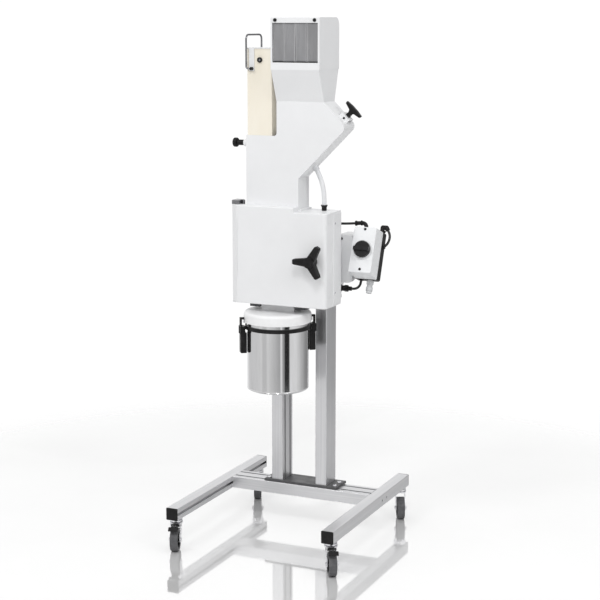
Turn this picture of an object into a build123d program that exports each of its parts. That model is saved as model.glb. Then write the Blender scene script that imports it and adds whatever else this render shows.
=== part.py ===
"""Laboratory cutting mill on a wheeled stand of aluminium profile.

Millimetres, +Z up, +X to the right seen from the front, +Y to the back.
The origin is the centre of the stand on the floor, midway between the four swivel axes.
"""
from build123d import *
from math import atan2, cos, degrees, hypot, pi, radians, sin, sqrt, tan
import os

# Stand of 40 mm aluminium profile
module = 40.0
stand_width = 582.0
rail_length = 654.0
cap_thickness = 3.0
castor_height = 102.0
beam_centre_y = 102.0
slot_mouth = 8.4
slot_lip = 4.5
slot_inner_width = 20.0
slot_depth = 12.2
profile_skin = 2.5
core_radius = 4.2
screw_radius = 4.0
screw_fit = 0.2
socket_head_radius = 6.5
base_plate_width = 264.0
base_plate_depth = 86.0
base_plate_thickness = 8.0
base_plate_front_y = 66.0
post_spacing = 160.0
post_length = 640.0
post_front_y = 72.0
mill_x = -6.5

# Castors
wheel_radius = 37.5
wheel_width = 25.0
axle_radius = 4.0
running_gap = 0.05
castor_trail = 24.0
fork_gap = 1.5
fork_plate = 2.5
castor_inset = 30.0
kingpin_radius = 5.0
pedal_half_width = 10.0
pedal_lip_half_width = 16.0

# Housing and door
housing_width = 341.0
housing_height = 302.0
housing_front_y = -61.0
housing_back_y = 24.0
housing_drop = 7.0
sheet = 3.0
door_depth = 38.5
door_gap = 0.5
door_chamfer = 30.0
door_corner_radius = 12.0
door_rise = 14.0
door_rise_width = 229.0
lock_height = 154.0
hinge_foot_thickness = 4.0
hinge_radius = 7.0
hinge_pin_radius = 3.5

# Grinding chamber and rotor
rotor_x = -30.0
rotor_height = 147.0
rotor_radius = 64.8
chamber_radius = 67.0
rotor_length = 62.0
sieve_thickness = 1.5
shaft_radius = 14.0
outlet_width = 116.0
outlet_front_y = -42.0
outlet_back_y = 16.0

# Drive
wall_thickness = 12.0
foot_thickness = 10.0
bracket_height = 284.0
bracket_side = 10.0
bracket_reach_left = 147.0
bracket_reach_right = 144.5
foot_corner = 40.0
foot_side_depth = 68.0
motor_radius = 75.0
motor_shell_radius = 66.0
motor_length = 210.0
end_shield = 12.0
fan_cover_length = 46.0

# Hopper
hopper_depth = 84.0
column_left_x = -130.5
column_width = 182.5
shoulder_height = 235.0
throat_left_x = -23.0
throat_width = 162.5
throat_height = 344.0
slope_run = 76.5
neck_height = 99.0
hood_overhang_front = 39.0
hood_overhang_back = 30.0
hood_height = 160.0
hood_lip = 22.0
hood_header = 17.0
hood_corner = 26.0
hood_step = 1.5
hopper_flange = 9.0

# Plunger
plunger_width = 86.0
plunger_length = 387.0
plunger_reach = 271.0
plunger_gap = 1.0
plunger_drop = 200.0
plunger_lift = 80.0
index_radius = 4.0
index_play = 0.4
index_reach = 4.0
bail_radius = 3.0
strap_thickness = 2.5
strap_cap_height = 3.0

# Collecting vessel under the chamber
collector_x = -31.0
collector_y = -40.0
lid_radius = 110.0
lid_thickness = 34.0
lid_drop = 27.0
vessel_radius = 101.0
vessel_wall = 1.5
vessel_height = 234.0
clamp_angle = 37.0
clamp_ring_drop = 11.0
clamp_ring_height = 12.0

# Switch box, leaning back
switch_x = 234.0
switch_y = 30.0
switch_rise = 174.0
switch_tilt = 20.5
switch_width = 76.0
switch_height = 157.0
cover_depth = 62.0
cover_slope = 9.5
switch_base_depth = 27.0
cover_seam_z = -30.6
knob_radius = 27.0
collar_radius = 33.0
console_width = 50.0
console_rise = 62.0
console_height = 155.0
tray_half_height = 64.0
cable_radius = 4.0
spare_bore_radius = 5.0
spare_gland_x = 12.0
spare_gland_length = 42.0
conduit_radius = 7.5
conduit_y = -10.0

# Levels and edges that follow from the sizes above
rail_x = (stand_width - module) / 2
rail_mid_z = castor_height + module / 2
rail_top_z = castor_height + module
plate_top_z = rail_top_z + base_plate_thickness
post_top_z = plate_top_z + post_length
foot_top_z = post_top_z + foot_thickness
post_mid_y = post_front_y + module
housing_z0 = post_top_z - housing_drop
housing_z1 = housing_z0 + housing_height
housing_x0 = mill_x - housing_width / 2
housing_x1 = mill_x + housing_width / 2
door_back_y = housing_front_y - door_gap
door_front_y = door_back_y - door_depth
door_z0 = housing_z0 + door_gap
door_z1 = housing_z1
door_top_z = housing_z1 + door_rise
hinge_x = housing_x0 + hinge_radius
hinge_y = door_back_y - hinge_radius
rotor_z = housing_z0 + rotor_height
wall_front_y = housing_back_y
wall_back_y = wall_front_y + wall_thickness
hopper_front_y = housing_front_y
hopper_back_y = hopper_front_y + hopper_depth
hopper_z0 = housing_z1
shoulder_z = hopper_z0 + shoulder_height
throat_z = hopper_z0 + throat_height
neck_top_z = throat_z + neck_height
hood_top_z = neck_top_z + hood_height
column_right_x = column_left_x + column_width
throat_right_x = throat_left_x + throat_width
tip_x = throat_right_x + slope_run
tip_z = throat_z - slope_run
hood_front_y = hopper_front_y - hood_overhang_front
hood_back_y = hopper_back_y + hood_overhang_back
lid_top_z = housing_z0 - lid_drop
lid_z0 = lid_top_z - lid_thickness
switch_z = housing_z0 + switch_rise

parts = {}


def block(x0, x1, y0, y1, z0, z1):
    """A box given by its lowest and highest corners."""
    return Pos((x0 + x1) / 2, (y0 + y1) / 2, (z0 + z1) / 2) * Box(x1 - x0, y1 - y0, z1 - z0)


def rod_x(x0, x1, y, z, radius):
    return Pos((x0 + x1) / 2, y, z) * Rot(0, 90, 0) * Cylinder(radius, abs(x1 - x0))


def rod_y(x, y0, y1, z, radius):
    return Pos(x, (y0 + y1) / 2, z) * Rot(90, 0, 0) * Cylinder(radius, abs(y1 - y0))


def rod_z(x, y, z0, z1, radius):
    return Pos(x, y, (z0 + z1) / 2) * Cylinder(radius, abs(z1 - z0))


def polygon(points):
    return make_face(Polyline(*points, close=True))


def prism_y(points, y0, y1):
    """Points in X and Z, extruded from y0 to y1."""
    face = Plane.XZ * polygon(points)
    return Pos(0, y1, 0) * extrude(face, amount=y1 - y0)


def prism_x(points, x0, x1):
    """Points in Y and Z, extruded from x0 to x1."""
    face = Plane.YZ * polygon(points)
    return Pos(x0, 0, 0) * extrude(face, amount=x1 - x0)


def edges_at(shape, axis, **near):
    """Edges along an axis whose centre has the given coordinates."""
    found = []
    for edge in shape.edges().filter_by(axis):
        centre = edge.center()
        if all(abs(getattr(centre, key) - value) < 0.01 for key, value in near.items()):
            found.append(edge)
    return found


def group(solids):
    return Compound(children=[item for solid in solids for item in solid.solids()])


def route(start, ahead, aside, legs):
    """Points of a flat route: each leg is an angle from one direction towards the other, and a length."""
    points = [Vector(*start)]
    for angle, length in legs:
        step = Vector(*ahead) * cos(radians(angle)) + Vector(*aside) * sin(radians(angle))
        points.append(points[-1] + step * length)
    return [(point.X, point.Y, point.Z) for point in points]


def ending_at(points, end):
    """The same route, moved so that its last point is at the given end."""
    shift = Vector(*end) - Vector(*points[-1])
    moved = [Vector(*point) + shift for point in points]
    return [(point.X, point.Y, point.Z) for point in moved]


# Profile sections
def slot_section(is_open):
    """One T slot with its mouth towards +Y, or the closed hollow behind a plain face."""
    half = slot_inner_width / 2
    top = slot_lip if is_open else profile_skin
    hollow = polygon([(-half, -top), (half, -top), (half, -top - 3.5), (half - 4.5, -slot_depth),
                      (4.5 - half, -slot_depth), (-half, -top - 3.5)])
    if is_open:
        hollow += Pos(0, -slot_lip / 2) * Rectangle(slot_mouth, slot_lip + 2)
    return hollow


def single_section(open_angle):
    """A square profile, 40 by 40, with one open slot."""
    section = RectangleRounded(module, module, profile_skin)
    for angle in (0, 90, 180, 270):
        section -= Rot(0, 0, angle) * Pos(0, module / 2) * slot_section(angle == open_angle)
    return section - Circle(core_radius)


def double_section(open_angle):
    """An upright 40 by 80 profile with two open slots side by side on one long face."""
    section = RectangleRounded(module, 2 * module, profile_skin)
    for side in (-1, 1):
        centre = Pos(0, side * module / 2)
        for angle in (90, 270):
            section -= centre * Rot(0, 0, angle) * Pos(0, module / 2) * slot_section(angle == open_angle)
        section -= centre * Circle(core_radius)
        section -= Rot(0, 0, 90 - side * 90) * Pos(0, module) * slot_section(False)
    return section - RectangleRounded(module - 4 * 3.5, 9, 1)


# Stand
def rails():
    inner_x = rail_x - module / 2
    for side, name in ((-1, "rail_left"), (1, "rail_right")):
        section = single_section(270 if side < 0 else 90)
        rail = Pos(side * rail_x, 0, rail_mid_z) * extrude(Plane.XZ * section, rail_length / 2, both=True)
        for offset in (-module / 2, module / 2):
            rail -= rod_x(side * inner_x, side * (inner_x + module + 1), beam_centre_y + offset,
                          rail_mid_z, 3.5)
        parts[name] = rail


def cross_beam():
    section = RectangleRounded(2 * module, module, profile_skin)
    for side in (-1, 1):
        centre = Pos(side * module / 2, 0)
        section -= centre * Pos(0, module / 2) * slot_section(True)
        section -= centre * Rot(0, 0, 180) * Pos(0, module / 2) * slot_section(False)
        section -= centre * Circle(core_radius)
        section -= Rot(0, 0, -side * 90) * Pos(0, module) * slot_section(False)
    section -= RectangleRounded(9, module - 4 * 3.5, 1)
    length = stand_width - 2 * module
    parts["cross_beam"] = Pos(0, beam_centre_y, rail_mid_z) * extrude(Plane.YZ * section, length / 2, both=True)


def frame_screws():
    """Screws with their heads in the rails' slots and their shanks in the beam's cores."""
    inner_x = rail_x - module / 2
    screws = []
    for side in (-1, 1):
        for offset in (-module / 2, module / 2):
            y = beam_centre_y + offset
            head = rod_x(side * (inner_x + slot_lip), side * (inner_x + slot_lip + 5), y, rail_mid_z,
                         socket_head_radius)
            shank = rod_x(side * (inner_x - 30), side * (inner_x + slot_lip), y, rail_mid_z, screw_radius)
            screws.append(head + shank)
    parts["frame_screws"] = group(screws)


def end_caps():
    caps = []
    for x in (-rail_x, rail_x):
        for end in (-1, 1):
            face_y = end * rail_length / 2
            cap = block(x - module / 2, x + module / 2, min(face_y, face_y + end * cap_thickness),
                        max(face_y, face_y + end * cap_thickness), castor_height, rail_top_z)
            cap = fillet(edges_at(cap, Axis.Y), profile_skin)
            cap += rod_y(x, face_y - end * 12, face_y, rail_mid_z, core_radius - 0.1)
            caps.append(cap)
    parts["rail_end_caps"] = group(caps)


def base_plate():
    y0 = base_plate_front_y
    y1 = y0 + base_plate_depth
    plate = block(-base_plate_width / 2, base_plate_width / 2, y0, y1, rail_top_z, plate_top_z)
    plate = chamfer(plate.edges().group_by(Axis.Z)[-1], 1)
    for x, y in plate_screw_places():
        plate -= rod_z(x, y, rail_top_z, plate_top_z, screw_radius + screw_fit)
    for x, y in post_core_places():
        plate -= rod_z(x, y, rail_top_z, plate_top_z, screw_radius + screw_fit)
        plate -= rod_z(x, y, rail_top_z, rail_top_z + 5.2, socket_head_radius + 0.3)
    parts["base_plate"] = plate


def plate_screw_places():
    edge = base_plate_width / 2 - 12
    return [(x, beam_centre_y + offset) for x in (-edge, edge) for offset in (-module / 2, module / 2)]


def post_core_places():
    return [(mill_x + side * post_spacing / 2, post_mid_y + offset)
            for side in (-1, 1) for offset in (-module / 2, module / 2)]


def plate_screws():
    screws, nuts = [], []
    for x, y in plate_screw_places():
        head = rod_z(x, y, plate_top_z, plate_top_z + 4.5, 7)
        head = fillet(head.edges().group_by(Axis.Z)[-1], 2)
        head -= rod_z(x, y, plate_top_z + 2, plate_top_z + 5, 2.5)
        screws.append(head + rod_z(x, y, rail_top_z - slot_depth + 1, plate_top_z, screw_radius))
        nut = block(x - 10, x + 10, y - 8, y + 8, rail_top_z - slot_lip - 3.2, rail_top_z - slot_lip)
        nuts.append(nut - rod_z(x, y, rail_top_z - slot_depth, rail_top_z, screw_radius + screw_fit))
    parts["base_plate_screws"] = group(screws)
    parts["slot_nuts"] = group(nuts)


def posts():
    for side, name in ((-1, "post_left"), (1, "post_right")):
        section = double_section(270 if side < 0 else 90)
        post = Pos(mill_x + side * post_spacing / 2, post_mid_y, plate_top_z) * extrude(section, post_length)
        parts[name] = post


def post_screws():
    screws = []
    for x, y in post_core_places():
        low = rod_z(x, y, rail_top_z + 0.2, rail_top_z + 5.2, socket_head_radius)
        low += rod_z(x, y, rail_top_z + 5.2, plate_top_z + 25, screw_radius)
        high = rod_z(x, y, foot_top_z, foot_top_z + 8, socket_head_radius)
        high += rod_z(x, y, post_top_z - 25, foot_top_z, screw_radius)
        high -= rod_z(x, y, foot_top_z + 4, foot_top_z + 9, 3)
        screws += [low, high]
    parts["post_screws"] = group(screws)


# Castors, built with the swivel axis at the origin and the wheel trailing towards -Y
castor_places = {"front_left": (-1, -1, 19.0), "front_right": (1, -1, 31.0),
                 "back_right": (1, 1, 26.0), "back_left": (-1, 1, 24.0)}
crown_top_z = castor_height - 10.3
crown_z0 = crown_top_z - 4
axle_z = wheel_radius
leg_inner = wheel_width / 2 + fork_gap
leg_outer = leg_inner + fork_plate
brake_pivot_y = -12.0
brake_pivot_z = crown_z0 - 7


def castor_stem():
    """Upper race with its bolt into the rail and the riveted king pin below."""
    stem = rod_z(0, 0, castor_height - 10, castor_height - 4, 20)
    stem = fillet(stem.edges().group_by(Axis.Z)[0], 2)
    stem += rod_z(0, 0, castor_height - 4, castor_height, 11)
    stem += rod_z(0, 0, crown_z0 - 3.3, castor_height - 4, kingpin_radius)
    stem += rod_z(0, 0, crown_z0 - 3.3, crown_z0 - 0.3, kingpin_radius + 3)
    return stem


def castor_fork():
    crown = rod_z(0, 0, crown_z0, crown_top_z, 21)
    crown += block(-leg_outer, leg_outer, -22, 12, crown_z0, crown_top_z)
    side = [(-22, crown_top_z), (12, crown_top_z), (10, crown_z0 - 14), (-castor_trail + 10, axle_z - 6),
            (-castor_trail, axle_z - 10), (-castor_trail - 10, axle_z - 6), (-castor_trail - 10, axle_z + 12),
            (-22, crown_z0 - 14)]
    fork = crown
    for sign in (-1, 1):
        x0, x1 = sorted((sign * leg_inner, sign * leg_outer))
        fork += prism_x(side, x0, x1)
    fork -= rod_z(0, 0, crown_z0 - 1, crown_top_z + 1, kingpin_radius + running_gap)
    fork -= rod_x(-leg_outer - 1, leg_outer + 1, -castor_trail, axle_z, axle_radius + 0.02)
    fork -= rod_x(-leg_outer - 1, leg_outer + 1, brake_pivot_y, brake_pivot_z, 2.52)
    return fork


def castor_axle():
    axle = rod_x(-leg_outer, leg_outer + 4, -castor_trail, axle_z, axle_radius)
    for x in (-leg_outer - 2, leg_outer + 2):
        hexagon = extrude(RegularPolygon(6.5, 6), 2, both=True)
        axle += Pos(x, -castor_trail, axle_z) * Rot(0, 90, 0) * hexagon
    return axle


def castor_tyre():
    tyre = rod_x(-wheel_width / 2, wheel_width / 2, -castor_trail, axle_z, wheel_radius)
    tyre = fillet(tyre.edges(), 2)
    return tyre - rod_x(-wheel_width, wheel_width, -castor_trail, axle_z, wheel_radius - 9)


def castor_hub():
    y, z = -castor_trail, axle_z
    hub = rod_x(-wheel_width / 2 + 2, wheel_width / 2 - 2, y, z, wheel_radius - 9.02)
    for sign in (-1, 1):
        face = sign * wheel_width / 2
        hub -= rod_x(sign * 4, face, y, z, wheel_radius - 13) - rod_x(sign * 4, face, y, z, 10)
    hub += rod_x(-leg_inner + 0.4, leg_inner - 0.4, y, z, 8)
    return hub - rod_x(-wheel_width, wheel_width, y, z, axle_radius + running_gap)


def brake_pedal():
    """Pedal over the front of the wheel, hung on a cross pin in the fork."""
    pin = rod_x(-leg_outer - 1, leg_outer + 1, brake_pivot_y, brake_pivot_z, 2.5)
    low = wheel_radius * 2 + 3.5
    profile = [(brake_pivot_y + 3, brake_pivot_z - 3), (brake_pivot_y + 3, brake_pivot_z + 3.5),
               (brake_pivot_y - 14, brake_pivot_z + 4), (-castor_trail - 32, low + 9),
               (-castor_trail - 40, low + 2), (-castor_trail - 38, low - 2),
               (-castor_trail - 28, low + 3), (-castor_trail - 4, low)]
    pedal = pin + prism_x(profile, -pedal_half_width, pedal_half_width)
    widths = ((leg_inner - 0.4, -20, 0), (pedal_lip_half_width, -castor_trail - 41, -castor_trail - 26))
    for half, y0, y1 in widths:
        pedal += prism_x(profile, -half, half) & block(-half, half, y0, y1, low - 5, castor_height)
    for x in (-5, 5):
        pedal += rod_z(x, -castor_trail - 21, low + 5, low + 10, 2.2)
    return pedal


def castors():
    for name, (side_x, side_y, heading) in castor_places.items():
        x = side_x * rail_x
        y = side_y * (rail_length / 2 + cap_thickness - castor_inset)
        place = Pos(x, y, 0) * Rot(0, 0, heading)
        parts[f"castor_stem_{name}"] = place * castor_stem()
        parts[f"castor_fork_{name}"] = place * castor_fork()
        parts[f"castor_axle_{name}"] = place * castor_axle()
        parts[f"castor_hub_{name}"] = place * castor_hub()
        parts[f"castor_tyre_{name}"] = place * castor_tyre()
        if side_y < 0:
            parts[f"brake_pedal_{name}"] = place * brake_pedal()


# Housing
lock_x = housing_x1 - 38.5
lock_z = housing_z0 + lock_height
lock_screw_radius = 8.0
chamber_x0 = column_left_x - 11.5
chamber_x1 = column_right_x + 12
chamber_block_x1 = chamber_x1 + 10
chamber_screw_inset = 7.5
chamber_z0 = housing_z0 + 18
chamber_z1 = housing_z1 - sheet
chamber_front_y = housing_front_y
chamber_back_y = housing_back_y - sheet
cavity_back_y = chamber_back_y - 10
outlet_x0 = rotor_x - outlet_width / 2
outlet_x1 = rotor_x + outlet_width / 2
cavity_x0 = column_left_x + sheet
cavity_x1 = column_right_x - sheet
side_screw_places = [(-31.0, housing_z1 - 36), (-31.0, housing_z0 + 43)]


def housing_shell():
    shell = block(housing_x0, housing_x1, housing_front_y, housing_back_y, housing_z0, housing_z1)
    shell = fillet(edges_at(shell, Axis.Z, Y=housing_back_y), 4)
    shell -= block(housing_x0 + sheet, housing_x1 - sheet, housing_front_y - 1, housing_back_y - sheet,
                   housing_z0 + sheet, housing_z1 - sheet)
    shell -= block(cavity_x0, cavity_x1, housing_front_y - 1, hopper_back_y - sheet, housing_z1 - sheet - 1,
                   housing_z1 + 1)
    shell -= block(outlet_x0 - 6.3, outlet_x1 + 6.3, outlet_front_y - 6.3, outlet_back_y + 6.3 - 4,
                   housing_z0 - 1, housing_z0 + sheet + 1)
    shell -= rod_y(rotor_x, housing_back_y - sheet - 1, housing_back_y + 1, rotor_z, 30)
    shell -= rod_z(gland_x, conduit_y, housing_z1 - sheet - 1, housing_z1 + 1, 6.2)
    for x, z in chamber_screw_places():
        shell -= rod_y(x, housing_back_y - sheet - 1, housing_back_y + 1, z, screw_radius + screw_fit)
    for y, z in side_screw_places:
        shell -= rod_x(housing_x1 - sheet - 1, housing_x1 + 1, y, z, 2.2)
    parts["housing_shell"] = shell


def side_cover():
    cover = block(housing_x1, housing_x1 + 1.5, -38, housing_back_y - 4, housing_z0 + 6, housing_z1 - 6)
    screws = []
    for y, z in side_screw_places:
        cover -= rod_x(housing_x1 - 1, housing_x1 + 3, y, z, 2.2)
        head = rod_x(housing_x1 + 1.5, housing_x1 + 3.3, y, z, 3.6)
        head = fillet(head.edges().group_by(Axis.X)[-1], 0.8)
        screws.append(head + rod_x(housing_x1 - 7, housing_x1 + 1.5, y, z, 2))
    parts["side_cover"] = cover
    parts["side_cover_screws"] = group(screws)


def lock_block():
    """Tapped block behind the door that takes the star handle's screw."""
    body = block(lock_x - 22, lock_x + 22, housing_front_y, housing_back_y - sheet, lock_z - 22, lock_z + 22)
    body -= rod_y(lock_x, housing_front_y - 1, housing_front_y + 26, lock_z, lock_screw_radius + 0.6)
    mouth = Cone(lock_screw_radius + 0.6, lock_screw_radius + 5, 9)
    body -= Pos(lock_x, housing_front_y + 4.5, lock_z) * Rot(90, 0, 0) * mouth
    parts["lock_block"] = body


# Door
def door_outline(inset):
    """Outline seen from above, chamfered at the left front and rounded at the right front."""
    x0, x1 = housing_x0 + inset, housing_x1 - inset
    y0, y1 = door_front_y + inset, door_back_y
    cut = door_chamfer - inset * 0.6
    face = polygon([(x0, y1), (x0, y0 + cut), (x0 + cut, y0), (x1, y0), (x1, y1)])
    corner = [v for v in face.vertices() if v.X > x1 - 1 and v.Y < y0 + 1]
    face = fillet(corner, max(door_corner_radius - inset, 1))
    return face


def door_shell():
    rise_x1 = housing_x0 + door_rise_width
    full = Pos(0, 0, door_z0) * extrude(door_outline(0), door_z1 - door_z0)
    raised = Pos(0, 0, door_z1) * extrude(door_outline(0), door_top_z - door_z1)
    raised &= block(housing_x0, rise_x1, door_front_y, door_back_y, door_z1, door_top_z)
    door = full + raised
    straight = [e for e in door.edges() if e.geom_type == GeomType.LINE]
    front = [e for e in straight if abs(e.center().Y - door_front_y) < 0.01
             and housing_x0 + door_chamfer + 2 < e.center().X < housing_x1 - door_corner_radius]
    door = fillet(front, 2.5)
    inner = Pos(0, 0, door_z0 + sheet) * extrude(door_outline(sheet), door_z1 - door_z0 - 2 * sheet)
    high = Pos(0, 0, door_z1 - sheet - 1) * extrude(door_outline(sheet), door_rise + 1)
    high &= block(housing_x0, rise_x1 - sheet, door_front_y, door_back_y, door_z0, door_top_z - sheet)
    door -= inner + high
    door -= edge_relief()
    for z0, z1 in ((door_z0, door_z0 + 24), (door_z1 - 24, door_top_z)):
        door += rod_z(hinge_x, hinge_y, z0, z1, hinge_radius)
        door -= rod_z(hinge_x, hinge_y, z0 - 1, z1 + 1, hinge_pin_radius + running_gap)
    for x, z in door_stud_places():
        door += rod_y(x, door_front_y + 1, door_plate_y0, z, 6)
        door -= rod_y(x, door_plate_y0 - 14, door_plate_y0 + 1, z, 3.1)
    door += rod_y(lock_x, door_front_y + 1, door_back_y, lock_z, lock_screw_radius + 6)
    door -= rod_y(lock_x, door_front_y - 1, door_back_y + 1, lock_z, lock_screw_radius + running_gap)
    door -= door_marks()
    parts["door_shell"] = door


def edge_relief():
    """Rounds the back left corner about the hinge axis so that the door can swing."""
    corner = block(housing_x0 - 1, hinge_x, hinge_y, door_back_y + 1, door_z0 - 1, door_top_z + 1)
    return corner - rod_z(hinge_x, hinge_y, door_z0 - 2, door_top_z + 2, hinge_radius)


def door_marks():
    """Shallow joint lines: the hinge seam on the front and two on the right side."""
    x = housing_x0 + door_chamfer + 2
    marks = block(x, x + 1.6, door_front_y - 1, door_front_y + 1.2, door_z0 + 81, door_z1 - 24)
    for z in (door_z0 + 32, door_z1 - 31):
        marks += block(housing_x1 - 1, housing_x1 + 1, door_front_y + 19, door_back_y - 2, z, z + 1.4)
    marks += rod_x(housing_x1 - 2, housing_x1 + 1, door_front_y + 18, lock_z, 2.2)
    return marks


door_plate_y0 = door_back_y - 12


def door_stud_places():
    return [(x, z) for x in (chamber_x0 + 14, chamber_x1 - 14) for z in (chamber_z0 + 14, chamber_z1 - 16)]


def door_plate():
    """Machined plate on the inside of the door that closes the chamber."""
    plate = block(chamber_x0, chamber_x1, door_plate_y0, door_back_y, chamber_z0, chamber_z1 - 2)
    plate = fillet(edges_at(plate, Axis.Y), 5)
    screws = []
    for x, z in door_stud_places():
        plate -= rod_y(x, door_plate_y0 - 1, door_back_y + 1, z, 3.2)
        plate -= rod_y(x, door_back_y - 4.2, door_back_y + 1, z, 5.7)
        screws.append(rod_y(x, door_back_y - 4.2, door_back_y - 0.3, z, 5.5)
                      + rod_y(x, door_plate_y0 - 12, door_back_y - 4.2, z, 3))
    parts["door_plate"] = plate
    parts["door_plate_screws"] = group(screws)


def hinge_brackets():
    x0, x1 = housing_x0, housing_x0 + 27
    y0, y1 = hinge_y - 8, housing_front_y + 24
    top = block(x0, x1, y0, y1, door_top_z + 0.5, door_top_z + 12.5)
    top += block(x0, x1, housing_front_y + 0.5, y1, housing_z1, door_top_z + 0.5)
    foot_z = housing_z0 - hinge_foot_thickness
    low = block(x0, x1, y0, y1, foot_z, housing_z0)
    pin_hole = hinge_pin_radius + 0.02
    top -= rod_z(hinge_x, hinge_y, door_z1, door_top_z + 14, pin_hole)
    low -= rod_z(hinge_x, hinge_y, foot_z - 1, housing_z0 + 1, pin_hole)
    top = fillet(edges_at(top, Axis.Z, Y=y0), 5)
    low = fillet(edges_at(low, Axis.Z, Y=y0), 5)
    parts["hinge_bracket_top"] = top
    parts["hinge_bracket_bottom"] = low
    pins = [rod_z(hinge_x, hinge_y, door_z1 - 20, door_top_z + 12.5, hinge_pin_radius),
            rod_z(hinge_x, hinge_y, foot_z, door_z0 + 20, hinge_pin_radius)]
    parts["hinge_pins"] = group(pins)
    bolt = rod_z(x1 + 5, housing_front_y + 10, housing_z1, door_top_z + 12, 4.8)
    parts["hinge_stop_bolt"] = bolt


star_back_y = door_front_y - 30
star_front_y = star_back_y - 22


def star_handle():
    hub = rod_y(lock_x, star_back_y + 14, star_front_y, lock_z, 17)
    star = hub
    for angle in (60, 180, 300):
        arm = polygon([(0, -15), (30, -11.5), (52, -9), (57, -6), (57, 6), (52, 9), (30, 11.5), (0, 15)])
        solid = extrude(arm, star_back_y - star_front_y - 4)
        solid = chamfer(solid.edges().group_by(Axis.Z)[-1], 3)
        star += Pos(lock_x, star_back_y, lock_z) * Rot(90, 0, 0) * Rot(0, 0, angle) * solid
    star -= rod_y(lock_x, star_back_y + 15, star_back_y - 6, lock_z, lock_screw_radius + 0.02)
    parts["star_handle"] = star
    stud = rod_y(lock_x, star_back_y - 6, housing_front_y + 14, lock_z, lock_screw_radius)
    parts["star_screw"] = chamfer(stud.edges().group_by(Axis.Y)[-1], 2)


# Grinding chamber
def chamber_screw_places():
    columns = (chamber_x0 + chamber_screw_inset, chamber_block_x1 - chamber_screw_inset)
    return [(x, z) for x in columns for z in (chamber_z0 + 12, chamber_z1 - 12)]


def chamber_block():
    x1 = chamber_block_x1
    body = block(chamber_x0, x1, chamber_front_y, chamber_back_y, chamber_z0, chamber_z1)
    bore = rod_y(rotor_x, chamber_front_y - 1, cavity_back_y, rotor_z, chamber_radius)
    seat = rod_y(rotor_x, chamber_front_y - 1, cavity_back_y, rotor_z, chamber_radius + sieve_thickness + 0.4)
    seat &= block(rotor_x - 90, rotor_x + 90, chamber_front_y - 1, cavity_back_y, rotor_z - 90, rotor_z - 10)
    reach = rotor_z + chamber_radius + 5
    inlet = block(cavity_x0, cavity_x1, chamber_front_y - 1, chamber_back_y + 1, reach, chamber_z1 + 1)
    low = rotor_z + 34
    funnel = prism_y([(cavity_x0, reach), (cavity_x1, reach), (rotor_x + 57, low), (rotor_x - 57, low)],
                     chamber_front_y - 1, cavity_back_y)
    outlet = block(outlet_x0, outlet_x1, outlet_front_y, outlet_back_y - 5, chamber_z0 - 1, rotor_z)
    spread = prism_x([(outlet_front_y, chamber_z0 + 3), (outlet_back_y - 5, chamber_z0 + 3),
                      (cavity_back_y, rotor_z - 36), (chamber_front_y + 6, rotor_z - 36)], outlet_x0, outlet_x1)
    body -= bore + seat + inlet + funnel + outlet + spread
    body -= rod_y(rotor_x, cavity_back_y - 1, chamber_back_y + 1, rotor_z, 20)
    for x, z in chamber_screw_places():
        body -= rod_y(x, chamber_back_y - 24, chamber_back_y + 1, z, screw_radius + screw_fit)
    for sign in (-1, 1):
        x0, x2 = sorted((rotor_x + sign * (rotor_radius - 6), rotor_x + sign * (bar_outer + 0.2)))
        body -= block(x0, x2, chamber_front_y - 1, cavity_back_y, rotor_z - 9.2, rotor_z + 9.2)
        x0, x2 = sorted((rotor_x + sign * bar_outer, chamber_x0 - 1 if sign < 0 else x1 + 1))
        for y in bar_screw_y:
            body -= rod_x(x0, x2, y, rotor_z, 3.2)
    parts["chamber_block"] = body


bar_outer = rotor_radius + 20
bar_screw_y = (-44.0, -6.0)


def cutting_bars():
    screws = []
    for sign, name in ((-1, "cutting_bar_left"), (1, "cutting_bar_right")):
        x0, x1 = sorted((rotor_x + sign * (rotor_radius + 0.8), rotor_x + sign * bar_outer))
        bar = block(x0, x1, chamber_front_y + 1, cavity_back_y - 1, rotor_z - 9, rotor_z + 9)
        tip = edges_at(bar, Axis.Y, X=rotor_x + sign * (rotor_radius + 0.8), Z=rotor_z - 9)
        bar = chamfer(tip, 6)
        outer = chamber_x0 if sign < 0 else chamber_block_x1
        for y in bar_screw_y:
            bar -= rod_x(rotor_x + sign * (bar_outer - 11), rotor_x + sign * (bar_outer + 1), y, rotor_z, 3.1)
            shank = rod_x(rotor_x + sign * (bar_outer - 10), outer, y, rotor_z, 3)
            screws.append(shank + rod_x(outer, outer + sign * 6, y, rotor_z, 5))
        parts[name] = bar
    parts["cutting_bar_screws"] = group(screws)


def sieve():
    """Half round sieve under the rotor with rows of square holes."""
    inner, outer = chamber_radius + 0.2, chamber_radius + 0.2 + sieve_thickness
    y0, y1 = chamber_front_y + 1, cavity_back_y - 0.5
    shell = rod_y(rotor_x, y0, y1, rotor_z, outer) - rod_y(rotor_x, y0 - 1, y1 + 1, rotor_z, inner)
    shell &= block(rotor_x - 90, rotor_x + 90, y0, y1, rotor_z - 90, rotor_z - 11)
    for angle in range(-138, -41, 12):
        for row in range(5):
            y = y0 + 12 + row * 11.5
            hole = Pos(rotor_x, y, rotor_z) * Rot(0, -angle, 0) * Pos(inner, 0, 0) * Box(8, 6, 6)
            shell -= hole
    parts["sieve"] = shell


rotor_y0 = chamber_front_y + 5
rotor_y1 = rotor_y0 + rotor_length
shaft_y0 = rotor_y0 + 10
motor_y0 = wall_back_y
stator_y0 = motor_y0 + end_shield
motor_y1 = stator_y0 + motor_length
rear_y1 = motor_y1 + end_shield
fan_y1 = rear_y1 + fan_cover_length


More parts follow.
